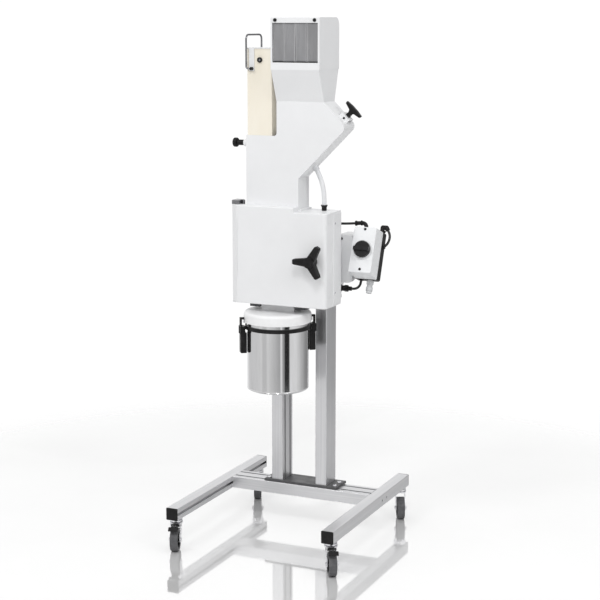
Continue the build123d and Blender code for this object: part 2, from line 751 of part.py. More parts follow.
def rotor():
    section = Circle(47)
    for angle in (90, 210, 330):
        blade = polygon([(0, -20), (52, -19), (rotor_radius - 3, -13), (rotor_radius + 2, 7), (30, 20),
                         (0, 20)])
        section += Rot(0, 0, angle) * blade
    section &= Circle(rotor_radius)
    body = Pos(rotor_x, rotor_y1, rotor_z) * extrude(Plane.XZ * section, rotor_length)
    body -= rod_y(rotor_x, rotor_y0 - 1, rotor_y1 + 1, rotor_z, shaft_radius + 0.02)
    body -= rod_y(rotor_x, rotor_y0 - 1, shaft_y0, rotor_z, 22)
    body -= block(rotor_x - 4.05, rotor_x + 4.05, shaft_y0, rotor_y1 + 1, rotor_z, rotor_z + shaft_radius + 3.4)
    parts["rotor"] = body
    parts["rotor_key"] = block(rotor_x - 4, rotor_x + 4, shaft_y0 + 4, rotor_y1 - 4, rotor_z + 10.1,
                               rotor_z + shaft_radius + 3.3)
    washer = rod_y(rotor_x, shaft_y0 - 3, shaft_y0, rotor_z, 20)
    washer -= rod_y(rotor_x, shaft_y0 - 4, shaft_y0 + 1, rotor_z, screw_radius + screw_fit)
    parts["rotor_washer"] = washer
    screw = rod_y(rotor_x, shaft_y0 - 8, shaft_y0 - 3, rotor_z, socket_head_radius)
    screw += rod_y(rotor_x, shaft_y0 - 3, shaft_y0 + 18, rotor_z, screw_radius)
    parts["rotor_screw"] = screw - rod_y(rotor_x, shaft_y0 - 9, shaft_y0 - 5, rotor_z, 3)


def drive_shaft():
    shaft = rod_y(rotor_x, shaft_y0, rear_y1 + 4, rotor_z, shaft_radius)
    shaft += rod_y(rotor_x, stator_y0 + 12, motor_y1 - 12, rotor_z, shaft_radius + 3)
    shaft += rod_y(rotor_x, rear_y1, rear_y1 + 30, rotor_z, shaft_radius - 4)
    shaft -= rod_y(rotor_x, shaft_y0 - 1, shaft_y0 + 20, rotor_z, screw_radius + screw_fit)
    shaft -= block(rotor_x - 4.05, rotor_x + 4.05, shaft_y0 + 3.9, rotor_y1 - 3.9, rotor_z + 10, rotor_z + 20)
    parts["drive_shaft"] = shaft
    seal = rod_y(rotor_x, cavity_back_y + 1, chamber_back_y, rotor_z, 19.95)
    parts["shaft_seal"] = seal - rod_y(rotor_x, cavity_back_y, chamber_back_y + 1, rotor_z, shaft_radius + 0.08)


# Drive
motor_screw_circle = 66.0
bracket_x1 = mill_x + bracket_reach_right


def motor_screw_places():
    reach = motor_screw_circle
    return [(rotor_x + reach * cos(radians(a)), rotor_z + reach * sin(radians(a))) for a in (45, 135, 225, 315)]


def drive_bracket():
    """Welded angle on the posts' tops: foot, upright wall and two side gussets."""
    x0, x1 = mill_x - bracket_reach_left, bracket_x1
    foot_back = post_front_y + 2 * module
    top = post_top_z + bracket_height
    side_y = wall_front_y + foot_side_depth
    foot = polygon([(x0, wall_front_y), (x1, wall_front_y), (x1, side_y), (x1 - foot_corner, foot_back),
                    (x0 + foot_corner, foot_back), (x0, side_y)])
    bracket = Pos(0, 0, post_top_z) * extrude(foot, foot_thickness)
    bracket += block(x0, x1, wall_front_y, wall_back_y, post_top_z, top)
    profile = [(wall_back_y, foot_top_z), (wall_back_y, top - 70), (side_y + 20, foot_top_z + 40),
               (side_y - 8, foot_top_z)]
    bracket += prism_x(profile, x0, x0 + bracket_side)
    bracket += prism_x(profile, x1 - bracket_side, x1)
    bracket -= rod_y(rotor_x, wall_front_y - 1, wall_back_y + 1, rotor_z, 30)
    for x, z in chamber_screw_places():
        bracket -= rod_y(x, wall_front_y - 1, wall_back_y + 1, z, screw_radius + screw_fit)
    for x, z in motor_screw_places():
        bracket -= rod_y(x, wall_front_y + 1, wall_back_y + 1, z, screw_radius + screw_fit)
    for x, y in post_core_places():
        bracket -= rod_z(x, y, post_top_z - 1, foot_top_z + 1, screw_radius + screw_fit)
    bracket -= rod_x(x1 - bracket_side - 1, x1 + 1, low_gland_y, low_gland_z, 8.1)
    parts["drive_bracket"] = bracket


def chamber_screws():
    screws = []
    for x, z in chamber_screw_places():
        screws.append(rod_y(x, wall_back_y, wall_back_y + 8, z, socket_head_radius)
                      + rod_y(x, chamber_back_y - 22, wall_back_y, z, screw_radius))
    parts["chamber_screws"] = group(screws)


def motor():
    shell = Circle(motor_shell_radius)
    fins = 26
    for index in range(fins):
        fin = Rectangle(motor_radius - motor_shell_radius + 2, 3)
        shell += Rot(0, 0, index * 360 / fins) * Pos((motor_shell_radius + motor_radius) / 2 - 1, 0) * fin
    shell -= Circle(motor_shell_radius - 5)
    parts["motor_housing"] = Pos(rotor_x, motor_y1, rotor_z) * extrude(Plane.XZ * shell, motor_length)

    bearing_r = 26.0
    front = rod_y(rotor_x, motor_y0, stator_y0, rotor_z, motor_radius + 3)
    front += rod_y(rotor_x, stator_y0, stator_y0 + 10, rotor_z, bearing_r + 5)
    front -= rod_y(rotor_x, motor_y0 - 1, stator_y0 + 11, rotor_z, shaft_radius + 2)
    front -= rod_y(rotor_x, stator_y0 - 4, stator_y0 + 11, rotor_z, bearing_r)
    for x, z in motor_screw_places():
        front -= rod_y(x, motor_y0 - 1, stator_y0 + 1, z, screw_radius + screw_fit)
        front -= rod_y(x, stator_y0 - 4, stator_y0 + 1, z, socket_head_radius + 0.3)
    parts["motor_front_shield"] = front
    rear = rod_y(rotor_x, motor_y1, rear_y1, rotor_z, motor_shell_radius + 3)
    rear += rod_y(rotor_x, motor_y1 - 10, motor_y1, rotor_z, bearing_r + 5)
    rear -= rod_y(rotor_x, motor_y1 - 11, rear_y1 + 1, rotor_z, shaft_radius + 2)
    rear -= rod_y(rotor_x, motor_y1 - 11, motor_y1 + 4, rotor_z, bearing_r)
    parts["motor_rear_shield"] = rear
    for name, y0 in (("bearing_front", stator_y0 - 4), ("bearing_rear", motor_y1 - 10)):
        ring = rod_y(rotor_x, y0, y0 + 14, rotor_z, bearing_r - 0.05)
        parts[name] = ring - rod_y(rotor_x, y0 - 1, y0 + 15, rotor_z, shaft_radius + running_gap)
    stator = rod_y(rotor_x, stator_y0 + 40, motor_y1 - 40, rotor_z, motor_shell_radius - 5.05)
    parts["motor_stator"] = stator - rod_y(rotor_x, stator_y0 + 39, motor_y1 - 39, rotor_z, 42.5)
    core = rod_y(rotor_x, stator_y0 + 42, motor_y1 - 42, rotor_z, 42)
    parts["motor_rotor"] = core - rod_y(rotor_x, stator_y0 + 41, motor_y1 - 41, rotor_z, shaft_radius + 3.02)
    screws = []
    for x, z in motor_screw_places():
        screws.append(rod_y(x, stator_y0 - 4, stator_y0, z, socket_head_radius)
                      + rod_y(x, wall_front_y + 2, stator_y0 - 4, z, screw_radius))
    parts["motor_screws"] = group(screws)


def fan():
    hub = rod_y(rotor_x, rear_y1 + 8, rear_y1 + 28, rotor_z, 18)
    blades = hub
    for index in range(8):
        blade = Pos(36, 0) * Rectangle(44, 2.4)
        solid = Pos(rotor_x, rear_y1 + 26, rotor_z) * extrude(Plane.XZ * (Rot(0, 0, index * 45) * blade), 16)
        blades += solid
    parts["fan"] = blades - rod_y(rotor_x, rear_y1 + 7, rear_y1 + 29, rotor_z, shaft_radius - 4 + 0.02)


def fan_cover():
    outer = rod_y(rotor_x, motor_y1, fan_y1, rotor_z, motor_radius)
    outer = fillet(outer.edges().group_by(Axis.Y)[-1], 8)
    cover = outer - rod_y(rotor_x, motor_y1 - 1, fan_y1 - 2, rotor_z, motor_radius - 2)
    for ring, count in ((22, 8), (38, 14), (54, 20)):
        for index in range(count):
            angle = 2 * pi * index / count
            x, z = rotor_x + ring * cos(angle), rotor_z + ring * sin(angle)
            cover -= rod_y(x, fan_y1 - 3, fan_y1 + 1, z, 4.5)
    parts["fan_cover"] = cover


terminal_x1 = rotor_x + motor_radius + 70
terminal_y = 115.0
terminal_top_z = rotor_z + 39


def terminal_box():
    y0, y1 = terminal_y - 45, terminal_y + 45
    box = block(rotor_x + motor_radius - 1, terminal_x1, y0, y1, rotor_z - 38, terminal_top_z)
    box = fillet(box.edges().group_by(Axis.X)[-1], 5)
    box += block(rotor_x + motor_shell_radius - 2, rotor_x + motor_radius, y0 + 10, y1 - 10, rotor_z - 24,
                 rotor_z + 24)
    box -= rod_y(rotor_x, y0 - 1, y1 + 1, rotor_z, motor_radius + 0.3)
    parts["terminal_box"] = box
    x, y, gland_z = top_route[0]
    gland = Pos(x, y, terminal_top_z) * extrude(RegularPolygon(10, 6), 7)
    gland += rod_z(x, y, terminal_top_z + 7, gland_z, 7.5)
    parts["terminal_gland"] = gland


# Hopper
def hopper_outline(inset):
    """Outline in X and Z. The inset one is the space inside, open at the shoulder, throat and foot."""
    step = inset * (sqrt(2) - 1)
    over = 4 if inset else 0
    return [(column_left_x + inset, hopper_z0 - over), (column_left_x + inset, shoulder_z + over),
            (throat_left_x + inset, shoulder_z + over),
            (throat_left_x + inset, throat_z + over),
            (throat_right_x - step - over, throat_z + over) if inset else (throat_right_x, throat_z),
            (tip_x - inset * sqrt(2), tip_z),
            (column_right_x - inset, tip_z - (tip_x - column_right_x) + step),
            (column_right_x - inset, hopper_z0 - over)]


def hopper_body():
    y0, y1 = hopper_front_y, hopper_back_y
    outer = prism_y(hopper_outline(0), y0, y1)
    outer = fillet(edges_at(outer, Axis.Y, X=tip_x, Z=tip_z), 20)
    outer = fillet(edges_at(outer, Axis.Y, X=throat_left_x, Z=shoulder_z), 9)
    hood_y0, hood_y1 = hood_front_y, hood_back_y
    neck = prism_x([(y0, throat_z), (y1, throat_z), (hood_y1, neck_top_z), (hood_y0, neck_top_z)],
                   throat_left_x, throat_right_x)
    rim_inset = sheet - hood_step + 0.3
    rim = block(throat_left_x + rim_inset, throat_right_x - rim_inset, hood_y0 + sheet + 0.3,
                hood_y1 - rim_inset, neck_top_z, neck_top_z + 14)
    body = outer + neck + rim
    body += block(column_left_x - hopper_flange, column_right_x + hopper_flange, y0, y1, hopper_z0,
                  hopper_z0 + 5)
    space = prism_y(hopper_outline(sheet), y0 + sheet, y1 - sheet)
    space = fillet(edges_at(space, Axis.Y, X=tip_x - sheet * sqrt(2), Z=tip_z), 17)
    slope_y = (hood_overhang_front / neck_height, hood_overhang_back / neck_height)
    slack = 2.0
    neck_space = prism_x([(y0 + sheet, throat_z - slack), (y1 - sheet, throat_z - slack),
                          (hood_y1 - 2 * sheet + slack * slope_y[1], neck_top_z + slack),
                          (hood_y0 + 2 * sheet - slack * slope_y[0], neck_top_z + slack)],
                         throat_left_x + 2 * sheet, throat_right_x - 2 * sheet)
    top_space = block(throat_left_x + 2 * sheet, throat_right_x - 2 * sheet, hood_y0 + 2 * sheet,
                      hood_y1 - 2 * sheet, neck_top_z, neck_top_z + 15)
    body -= space + neck_space + top_space
    body -= block(throat_left_x - 15, throat_left_x + sheet + 1, y0 + sheet, y1 - sheet, shoulder_z - 9,
                  shoulder_z)
    body -= rod_x(column_left_x - 1, column_left_x + sheet + 1, plunger_mid_y, index_z, index_radius + 0.3)
    body -= slant * Pos(0, 0, -sheet / 2) * Cylinder(5.1, 2 * sheet)
    parts["hopper_body"] = body


plunger_front_y = hopper_front_y + sheet + plunger_gap
plunger_back_y = hopper_back_y - sheet - plunger_gap
plunger_mid_y = (plunger_front_y + plunger_back_y) / 2
plunger_x0 = column_left_x + sheet + plunger_gap / 2
plunger_x1 = plunger_x0 + plunger_width
plunger_top_z = shoulder_z + plunger_reach
index_z = shoulder_z - 28
slant_foot = (throat_right_x + slope_run * 0.69, plunger_mid_y, throat_z - slope_run * 0.69)
slant = Plane(origin=slant_foot, x_dir=(1, 0, -1), z_dir=(1, 0, 1))


def hood():
    x0, x1 = throat_left_x - hood_step, throat_right_x + hood_step
    y0, y1 = hood_front_y, hood_back_y + hood_step
    outer = block(x0, x1, y0, y1, neck_top_z, hood_top_z)
    outer = fillet(edges_at(outer, Axis.X, Y=y1, Z=hood_top_z), hood_corner)
    outer = fillet(edges_at(outer, Axis.X, Y=y0, Z=hood_top_z), 2)
    inner = block(x0 + sheet, x1 - sheet, y0 + sheet, y1 - sheet, neck_top_z - 1, hood_top_z - sheet)
    inner = fillet(edges_at(inner, Axis.X, Y=y1 - sheet, Z=hood_top_z - sheet), hood_corner - sheet)
    shell = outer - inner
    edge = hood_step + 4
    shell -= block(x0 + edge, x1 - edge, y0 - 1, y0 + sheet + 1, neck_top_z + hood_lip,
                   hood_top_z - hood_header)
    for x in curtain_screw_x:
        shell -= rod_y(x, y0 - 1, y0 + sheet + 1, curtain_screw_z, 3.1)
    parts["hood"] = shell


curtain_screw_x = (throat_left_x + 14, throat_right_x - 15)
curtain_screw_z = hood_top_z - hood_header / 2


def curtain():
    y0 = hood_front_y + sheet
    x0, x1 = throat_left_x + sheet + 1, throat_right_x - sheet - 1
    count = 4
    width = (x1 - x0) / count
    strips = []
    for index in range(count):
        strip = block(x0 + index * width + 0.3, x0 + (index + 1) * width - 0.3, y0, y0 + 2,
                      neck_top_z + hood_lip + 3, hood_top_z - sheet - 2)
        for x in curtain_screw_x:
            strip -= rod_y(x, y0 - 1, y0 + 3, curtain_screw_z, 3.1)
        strips.append(strip)
    parts["curtain_strips"] = group(strips)
    bar = block(x0, x1, y0 + 2, y0 + 5, hood_top_z - hood_header, hood_top_z - sheet - 1)
    screws = []
    for x in curtain_screw_x:
        bar -= rod_y(x, y0, y0 + 6, curtain_screw_z, 3.1)
        head = rod_y(x, hood_front_y - 4, hood_front_y, curtain_screw_z, 5.5)
        head = fillet(head.edges().group_by(Axis.Y)[0], 2)
        screws.append(head + rod_y(x, hood_front_y, y0 + 7, curtain_screw_z, 3))
    parts["curtain_bar"] = bar
    parts["hood_screws"] = group(screws)


# Plunger
def plunger():
    body = block(plunger_x0, plunger_x1, plunger_front_y, plunger_back_y, plunger_top_z - plunger_length,
                 plunger_top_z)
    body = fillet(edges_at(body, Axis.Z), 2)
    body -= rod_y(plunger_bolt[0], plunger_front_y - 1, plunger_front_y + 20, plunger_bolt[1], 4.1)
    half = index_radius + index_play
    body -= block(plunger_x0 - 1, plunger_x0 + index_reach + 1, plunger_mid_y - half, plunger_mid_y + half,
                  index_z - plunger_lift - half, index_z + plunger_drop + half)
    parts["plunger_block"] = body
    leg_x0 = plunger_x0 + 8
    strap_z1 = plunger_top_z + strap_cap_height
    strap = block(plunger_x0, plunger_x1, strap_front_y, strap_back_y, plunger_top_z, strap_z1)
    for y0, y1 in ((strap_front_y, plunger_front_y - 0.1), (plunger_back_y + 0.1, strap_back_y)):
        strap += block(leg_x0, leg_x0 + 18, y0, y1, plunger_top_z - 70, strap_z1)
    parts["plunger_strap"] = strap
    head = rod_y(plunger_bolt[0], plunger_front_y - 5, plunger_front_y, plunger_bolt[1], 8.5)
    head = fillet(head.edges().group_by(Axis.Y)[0], 1.5)
    head -= rod_y(plunger_bolt[0], plunger_front_y - 6, plunger_front_y - 2, plunger_bolt[1], 4)
    head += rod_y(plunger_bolt[0], plunger_front_y - 1.5, plunger_front_y + 18, plunger_bolt[1], 3.9)
    parts["plunger_bolt"] = head


plunger_bolt = (plunger_x0 + 45, plunger_top_z - 35)
strap_front_y = plunger_front_y - strap_thickness
strap_back_y = plunger_back_y + strap_thickness


def plunger_bail():
    """Bent steel rod that stands over the plunger's top and is bolted to the strap's legs."""
    front_y = strap_front_y - 6
    back_y = strap_back_y + 8
    x, back_x = plunger_x0 + 1, plunger_x0 + 9
    low_z = plunger_top_z - 62
    top_z = plunger_top_z + 43
    end_x, back_end_x = plunger_x0 + 14, plunger_x0 + 17
    path = FilletPolyline((end_x, front_y, low_z), (x, front_y, low_z), (x, front_y, top_z),
                          (back_x, back_y, top_z), (back_x, back_y, low_z), (back_end_x, back_y, low_z),
                          radius=[7, 14, 14, 6])
    start = Plane(origin=(end_x, front_y, low_z), z_dir=(-1, 0, 0))
    parts["plunger_bail"] = sweep(start * Circle(bail_radius), path=path)
    parts["bail_bolts"] = group([rod_y(end_x + 5.1, front_y - 4, strap_front_y, low_z, 5),
                                 rod_y(back_end_x + 5.1, strap_back_y, back_y + 4, low_z, 5)])


def index_plunger():
    """Sprung locking pin on the hopper's left side, pulled out towards -X."""
    y, z = plunger_mid_y, index_z
    boss = rod_x(column_left_x - 26, column_left_x, y, z, 12)
    boss = fillet(boss.edges().group_by(Axis.X)[0], 2)
    parts["index_boss"] = boss - rod_x(column_left_x - 27, column_left_x + 1, y, z, index_radius + running_gap)
    knob = rod_x(column_left_x - 51, column_left_x - 26.4, y, z, 9)
    cap = rod_x(column_left_x - 64, column_left_x - 50, y, z, 15)
    cap = fillet(cap.edges(), 4)
    knob += cap
    parts["index_knob"] = knob - rod_x(column_left_x - 56, column_left_x - 26, y, z, index_radius + 0.02)
    parts["index_pin"] = rod_x(column_left_x - 56, plunger_x0 + index_reach, y, z, index_radius)


def t_handle():
    """Sprung pull pin square to the hopper's slanted face."""
    yoke = slant * (Pos(0, 0, 12) * Box(34, 34, 3))
    for sign in (-1, 1):
        yoke += slant * (Pos(0, sign * 15.5, 6.75) * Box(34, 3, 13.5))
    yoke -= slant * (Pos(0, 0, 12) * Cylinder(5.06, 8))
    parts["pull_pin_yoke"] = yoke
    screw = slant * (Pos(0, -17.9, 6) * Rot(90, 0, 0) * Cylinder(3.4, 1.8))
    parts["yoke_screw"] = screw
    half = [(7.5, 14), (6.5, 26), (10, 33), (32, 38.5), (33, 46), (12, 48.5)]
    outline = half + [(-x, z) for x, z in reversed(half)]
    handle = prism_y(outline, -7, 7)
    handle = fillet(handle.edges().filter_by(Axis.Y, reverse=True), 2.5)
    handle -= Pos(0, 0, 20) * Cylinder(5.02, 22)
    parts["pull_handle"] = slant * handle
    parts["pull_pin"] = slant * (Pos(0, 0, 13) * Cylinder(5, 35))


# Conduit between the hopper and the housing
conduit_lean = 27.0
conduit_stub = 14.0
conduit_gland_height = 18.0
conduit_foot = (column_right_x + 36, conduit_y, tip_z - (tip_x - column_right_x) + 36)
conduit_fall = conduit_foot[2] - housing_z1 - conduit_gland_height
conduit_legs = [(conduit_lean, conduit_stub), (conduit_lean, 0.21 * conduit_fall),
                (conduit_lean * 2 / 3, 0.23 * conduit_fall), (conduit_lean / 3, 0.25 * conduit_fall)]
conduit_route = route(conduit_foot, (0, 0, -1), (1, 0, 0), conduit_legs)[1:]
gland_x = conduit_route[-1][0]
conduit_route.append((gland_x, conduit_y, housing_z1 + conduit_gland_height))


def conduit():
    down = Vector(*conduit_route[0]) - Vector(*conduit_foot)
    frame = Plane(origin=conduit_foot, z_dir=down)
    ferrule = frame * (Pos(0, 0, 2) * Cylinder(conduit_radius + 2, 2 * (conduit_stub - 2)))
    ferrule -= prism_y([(column_right_x - 40, hopper_z0), (column_right_x - 40, tip_z + 60),
                        (tip_x + 60, tip_z + 60), (column_right_x, tip_z - (tip_x - column_right_x)),
                        (column_right_x, hopper_z0)], conduit_y - 40, conduit_y + 40)
    parts["conduit_ferrule"] = ferrule
    parts["conduit"] = cord_tube(conduit_route, conduit_radius)
    top = housing_z1 + conduit_gland_height
    gland = rod_z(gland_x, conduit_y, housing_z1 - 8, housing_z1, 6)
    gland += rod_z(gland_x, conduit_y, housing_z1, top - 8, 8)
    gland += Pos(gland_x, conduit_y, top - 4) * Cone(8, 11.5, 8)
    parts["conduit_gland"] = gland


def turn_angle(a, b, c):
    before = Vector(*b) - Vector(*a)
    after = Vector(*c) - Vector(*b)
    return before.get_angle(after)


def cord_tube(points, radius):
    """A tube along straight runs joined by the largest tangent arcs that fit."""
    radii = []
    for a, b, c in zip(points, points[1:], points[2:]):
        shorter = min((Vector(*b) - Vector(*a)).length, (Vector(*c) - Vector(*b)).length)
        radii.append(0.45 * shorter / tan(radians(turn_angle(a, b, c)) / 2))
    path = FilletPolyline(*points, radius=radii)
    start = Plane(origin=points[0], z_dir=Vector(*points[1]) - Vector(*points[0]))
    tube = sweep(start * Circle(radius), path=path)
    print("cord radii", [round(value, 1) for value in radii], "length", round(path.length, 1),
          "volume ratio", round(tube.volume / (pi * radius ** 2 * path.length), 4))
    return tube


# Collecting vessel
def outlet_chute():
    tube = block(outlet_x0, outlet_x1, outlet_front_y, outlet_back_y - 2, lid_top_z + 23.5, chamber_z0)
    tube -= block(outlet_x0 + 6, outlet_x1 - 6, outlet_front_y + 6, outlet_back_y - 8, lid_top_z,
                  chamber_z0 + 1)
    parts["outlet_chute"] = tube


def guide_rails():
    """Two angles under the housing that carry the lid's lips."""
    names = {-1: "guide_rail_left", 1: "guide_rail_right"}
    for sign in (-1, 1):
        edge = outlet_x0 if sign < 0 else outlet_x1

        def bar(near, far, z0, z1):
            x0, x1 = sorted((edge + sign * near, edge + sign * far))
            return block(x0, x1, outlet_front_y - 2, outlet_back_y, z0, z1)

        rail = bar(5, 40, lid_top_z + 8, lid_top_z + 16)
        rail += bar(34, 40, lid_top_z + 8, housing_z0)
        rail += bar(34, 54, housing_z0 - 4, housing_z0)
        parts[names[sign]] = rail


def lid():
    z0, z1 = lid_z0, lid_top_z
    body = rod_z(collector_x, collector_y, z0, z1, lid_radius)
    body = fillet(body.edges().group_by(Axis.Z)[-1], 10)
    body = fillet(body.edges().group_by(Axis.Z)[0], 1.5)
    body -= rod_z(collector_x, collector_y, z0 - 1, z0 + 10, vessel_radius + 3.4)
    x0, x1 = outlet_x0, outlet_x1
    body += block(x0, x1, outlet_front_y, outlet_back_y - 2, z1 - 2, z1 + 23)
    body += block(x0 - 31, x1 + 31, outlet_front_y, outlet_back_y - 2, z1 + 16.3, z1 + 23)
    body -= block(x0 + 6, x1 - 6, outlet_front_y + 6, outlet_back_y - 8, z0 - 1, z1 + 24)
    parts["lid"] = body
    catches = []
    for sign in (-1, 1):
        lug = Pos(lid_radius + 1, 0, z0 + 4.5) * Box(4.6, 16, 10.5)
        lug -= Cylinder(lid_radius, 4000)
        catches.append(clamp_frame(sign) * lug)
    parts["lid_catches"] = group(catches)


def clamp_frame(sign):
    """Local X points out from the vessel's axis at a clamp, local Z is up."""
    angle = clamp_angle if sign > 0 else clamp_angle + 180
    return Pos(collector_x, collector_y, 0) * Rot(0, 0, angle)


def vessel():
    z0 = lid_z0 + 10 - vessel_height
    outer = rod_z(collector_x, collector_y, z0, z0 + vessel_height, vessel_radius)
    outer = fillet(outer.edges().group_by(Axis.Z)[0], 9)
    inner = rod_z(collector_x, collector_y, z0 + vessel_wall, z0 + vessel_height + 1,
                  vessel_radius - vessel_wall)
    inner = fillet(inner.edges().group_by(Axis.Z)[0], 9 - vessel_wall)
    bead = rod_z(collector_x, collector_y, z0 + vessel_height - 4, z0 + vessel_height, vessel_radius + 3)
    bead -= rod_z(collector_x, collector_y, z0 + vessel_height - 5, z0 + vessel_height + 1, vessel_radius - 1)
    parts["vessel"] = outer - inner + bead


ring_z1 = lid_z0 - clamp_ring_drop
ring_z0 = ring_z1 - clamp_ring_height
handle_pivot = (vessel_radius + 11, ring_z0 + 6)
hook_pivot = (handle_pivot[0] + 9, handle_pivot[1] + 2)


def clamp_ring():
    ring = rod_z(collector_x, collector_y, ring_z0, ring_z1, vessel_radius + 4.5)
    ring -= rod_z(collector_x, collector_y, ring_z0 - 1, ring_z1 + 1, vessel_radius + 0.1)
    for sign in (-1, 1):
        r, z = handle_pivot
        ear = Pos(r, 0, z) * Rot(90, 0, 0) * Cylinder(5, 12)
        ear += Pos((r + vessel_radius + 3) / 2, 0, z) * Box(r - vessel_radius - 3, 12, 10)
        ear -= Pos(r, 0, z) * Rot(90, 0, 0) * Cylinder(2.5 + running_gap, 14)
        ring += clamp_frame(sign) * ear
    parts["clamp_ring"] = ring


def clamp(sign, name):
    """Draw latch: a long handle on the ring's ear and a hook over the lid's catch."""
    r, z = handle_pivot
    q, w = hook_pivot
    grip = Pos(r + 1.75, 0, z - 50) * Box(20.5, 26, 66)
    grip = fillet(grip.edges().filter_by(Axis.Z), 3)
    grip = fillet(grip.edges().group_by(Axis.Z)[0], 3)
    handle = grip
    for side in (-1, 1):
        cheek = Pos(r + 5.5, 0, z - 9) * Box(17, 7, 22)
        cheek += Pos(r, 0, z) * Rot(90, 0, 0) * Cylinder(5.5, 7)
        cheek += Pos(q, 0, w) * Rot(90, 0, 0) * Cylinder(5, 7)
        handle += Pos(0, side * 10.5, 0) * cheek
    handle += Pos(r, 0, z) * Rot(90, 0, 0) * Cylinder(2.5, 26)
    handle += Pos(q, 0, w) * Rot(90, 0, 0) * Cylinder(2, 26)
    parts[f"clamp_handle_{name}"] = clamp_frame(sign) * handle
    hook = Pos(q, 0, w) * Rot(90, 0, 0) * Cylinder(3.9, 12)
    hook += Pos(q + 0.4, 0, w + 14) * Box(6, 12, 28)
    arm = q + 3.4 - lid_radius - 0.7
    hook += Pos(q + 3.4 - arm / 2, 0, w + 28) * Box(arm, 12, 6)
    hook -= Pos(q, 0, w) * Rot(90, 0, 0) * Cylinder(2 + running_gap, 14)
    parts[f"clamp_hook_{name}"] = clamp_frame(sign) * hook


# Switch box
switch_frame = Pos(switch_x, switch_y, switch_z) * Rot(-switch_tilt, 0, 0)


def cover_profile(inset):
    """The cover from the side, with its sloping lower end."""
    high, low = switch_height / 2 - inset, inset - switch_height / 2
    back = cover_depth + (1 if inset else 0)
    return [(inset, high), (back, high), (back, low), (inset, low + cover_slope)]


def switch_box():
    half_w, half_h = switch_width / 2, switch_height / 2
    back = cover_depth + switch_base_depth
    cover = prism_x(cover_profile(0), -half_w, half_w)
    long_edges = [e for e in cover.edges() if abs(abs(e.center().X) - half_w) < 0.01
                  and abs(e.center().Y - cover_depth / 2) < 0.01]
    cover = fillet(long_edges, 4)
    cover -= prism_x(cover_profile(sheet), -half_w + sheet, half_w - sheet)
    cover -= block(-half_w - 1, half_w + 1, -1, 0.8, cover_seam_z, cover_seam_z + 1.2)
    cover -= rod_y(knob_x, -1, sheet + 1, knob_z, 5 + running_gap)
    for z in switch_screw_z:
        cover -= rod_y(0, -1, sheet + 1, z, 2.6)
    parts["switch_cover"] = switch_frame * cover
    base = block(-base_side, base_side, cover_depth, back, -base_edge, base_edge)
    base = fillet(edges_at(base, Axis.Y), 7)
    base -= block(-half_w + 2, half_w - 2, cover_depth - 1, back - 3, -half_h + 2, half_h - 2)
    for z in switch_screw_z:
        base += rod_y(0, cover_depth, back - 1, z, 6)
        base -= rod_y(0, cover_depth - 1, cover_depth + 12, z, 2.2)
    parts["switch_base"] = switch_frame * base
    block_body = block(-24, 24, 12, back - 3, -26 + knob_z, 26 + knob_z)
    block_body -= rod_y(knob_x, 11, 30, knob_z, 5.3)
    parts["switch_mechanism"] = switch_frame * block_body
    collar = rod_y(knob_x, -3, 0, knob_z, collar_radius) - rod_y(knob_x, -4, 1, knob_z, 5.3)
    parts["switch_collar"] = switch_frame * collar
    screws = []
    for z in switch_screw_z:
        head = rod_y(0, -1.8, 0, z, 4.2)
        screws.append(switch_frame * (head + rod_y(0, 0, cover_depth + 10, z, 2)))
    parts["switch_screws"] = group(screws)
    knob = rod_y(knob_x, -14, -3.3, knob_z, knob_radius)
    knob = fillet(knob.edges().group_by(Axis.Y)[0], 2)
    grip = knob_radius - 1
    knob += block(knob_x - grip, knob_x + grip, -22, -12, knob_z - 6, knob_z + 6)
    knob += rod_y(knob_x, -4, 28, knob_z, 5)
    parts["switch_knob"] = switch_frame * knob


def switch_place(x, y, z):
    """A point of the leaning frame in the stand's frame."""
    place = (switch_frame * Pos(x, y, z)).position
    return (place.X, place.Y, place.Z)


knob_x = 1.5
knob_z = 5.0
switch_screw_z = (cover_slope + 10 - switch_height / 2, switch_height / 2 - 7)

# Cable routes at the switch box: angles of the legs and their lengths
base_edge = switch_height / 2 + 1.5
base_side = switch_width / 2 + 1.5
base_mid = cover_depth + switch_base_depth / 2
leaning_up = tuple(b - a for a, b in zip(switch_place(0, 0, 0), switch_place(0, 0, 1)))
entry_length = 2.0
low_bend = 12.3
low_entry_x = -20.0
low_entry = switch_place(low_entry_x, base_mid, -base_edge - entry_length)
low_legs = [(angle, low_bend) for angle in (0, 30, 60, 90)]
low_route = ending_at(route((0, 0, 0), (1, 0, 0), leaning_up, low_legs), low_entry)
low_gland_x, low_gland_y, low_gland_z = low_route[0]
elbow_run = (38, 6, 3)
elbow_x = -28.0
elbow_end = switch_place(elbow_x, base_mid, base_edge)
elbow_top = switch_place(elbow_x, base_mid, base_edge + 29)
elbow_left = tuple(a - b for a, b in zip(elbow_top, elbow_run))
terminal_gland_height = 15.0
level_run = hypot(elbow_run[0], elbow_run[1])
top_tail = [(92, 26), (89, 28), (degrees(atan2(level_run, elbow_run[2])), 26)]
top_rise = elbow_left[2] - terminal_top_z - terminal_gland_height
top_rise -= sum(length * cos(radians(angle)) for angle, length in top_tail)
top_bend = top_rise / (1 + cos(radians(31)) + cos(radians(62)))
top_legs = [(angle, top_bend) for angle in (0, 31, 62)] + top_tail
top_aside = (elbow_run[0] / level_run, elbow_run[1] / level_run, 0)
top_route = ending_at(route((0, 0, 0), (0, 0, 1), top_aside, top_legs), elbow_left)
loop_gland_x = 29.0
loop_angles = [145 + step * 80 / 6 for step in range(7)]
loop_legs = [(angle, 8.8) for angle in loop_angles]
loop_end_x = base_side + 3.5
loop_x = loop_end_x - sum(length * sin(radians(angle)) for angle, length in loop_legs)
loop_z = base_edge + 8
loop_start = switch_place(loop_x, base_mid, loop_z)
console_x0 = bracket_x1
console_x1 = bracket_x1 + console_width
console_front_y = 60.0


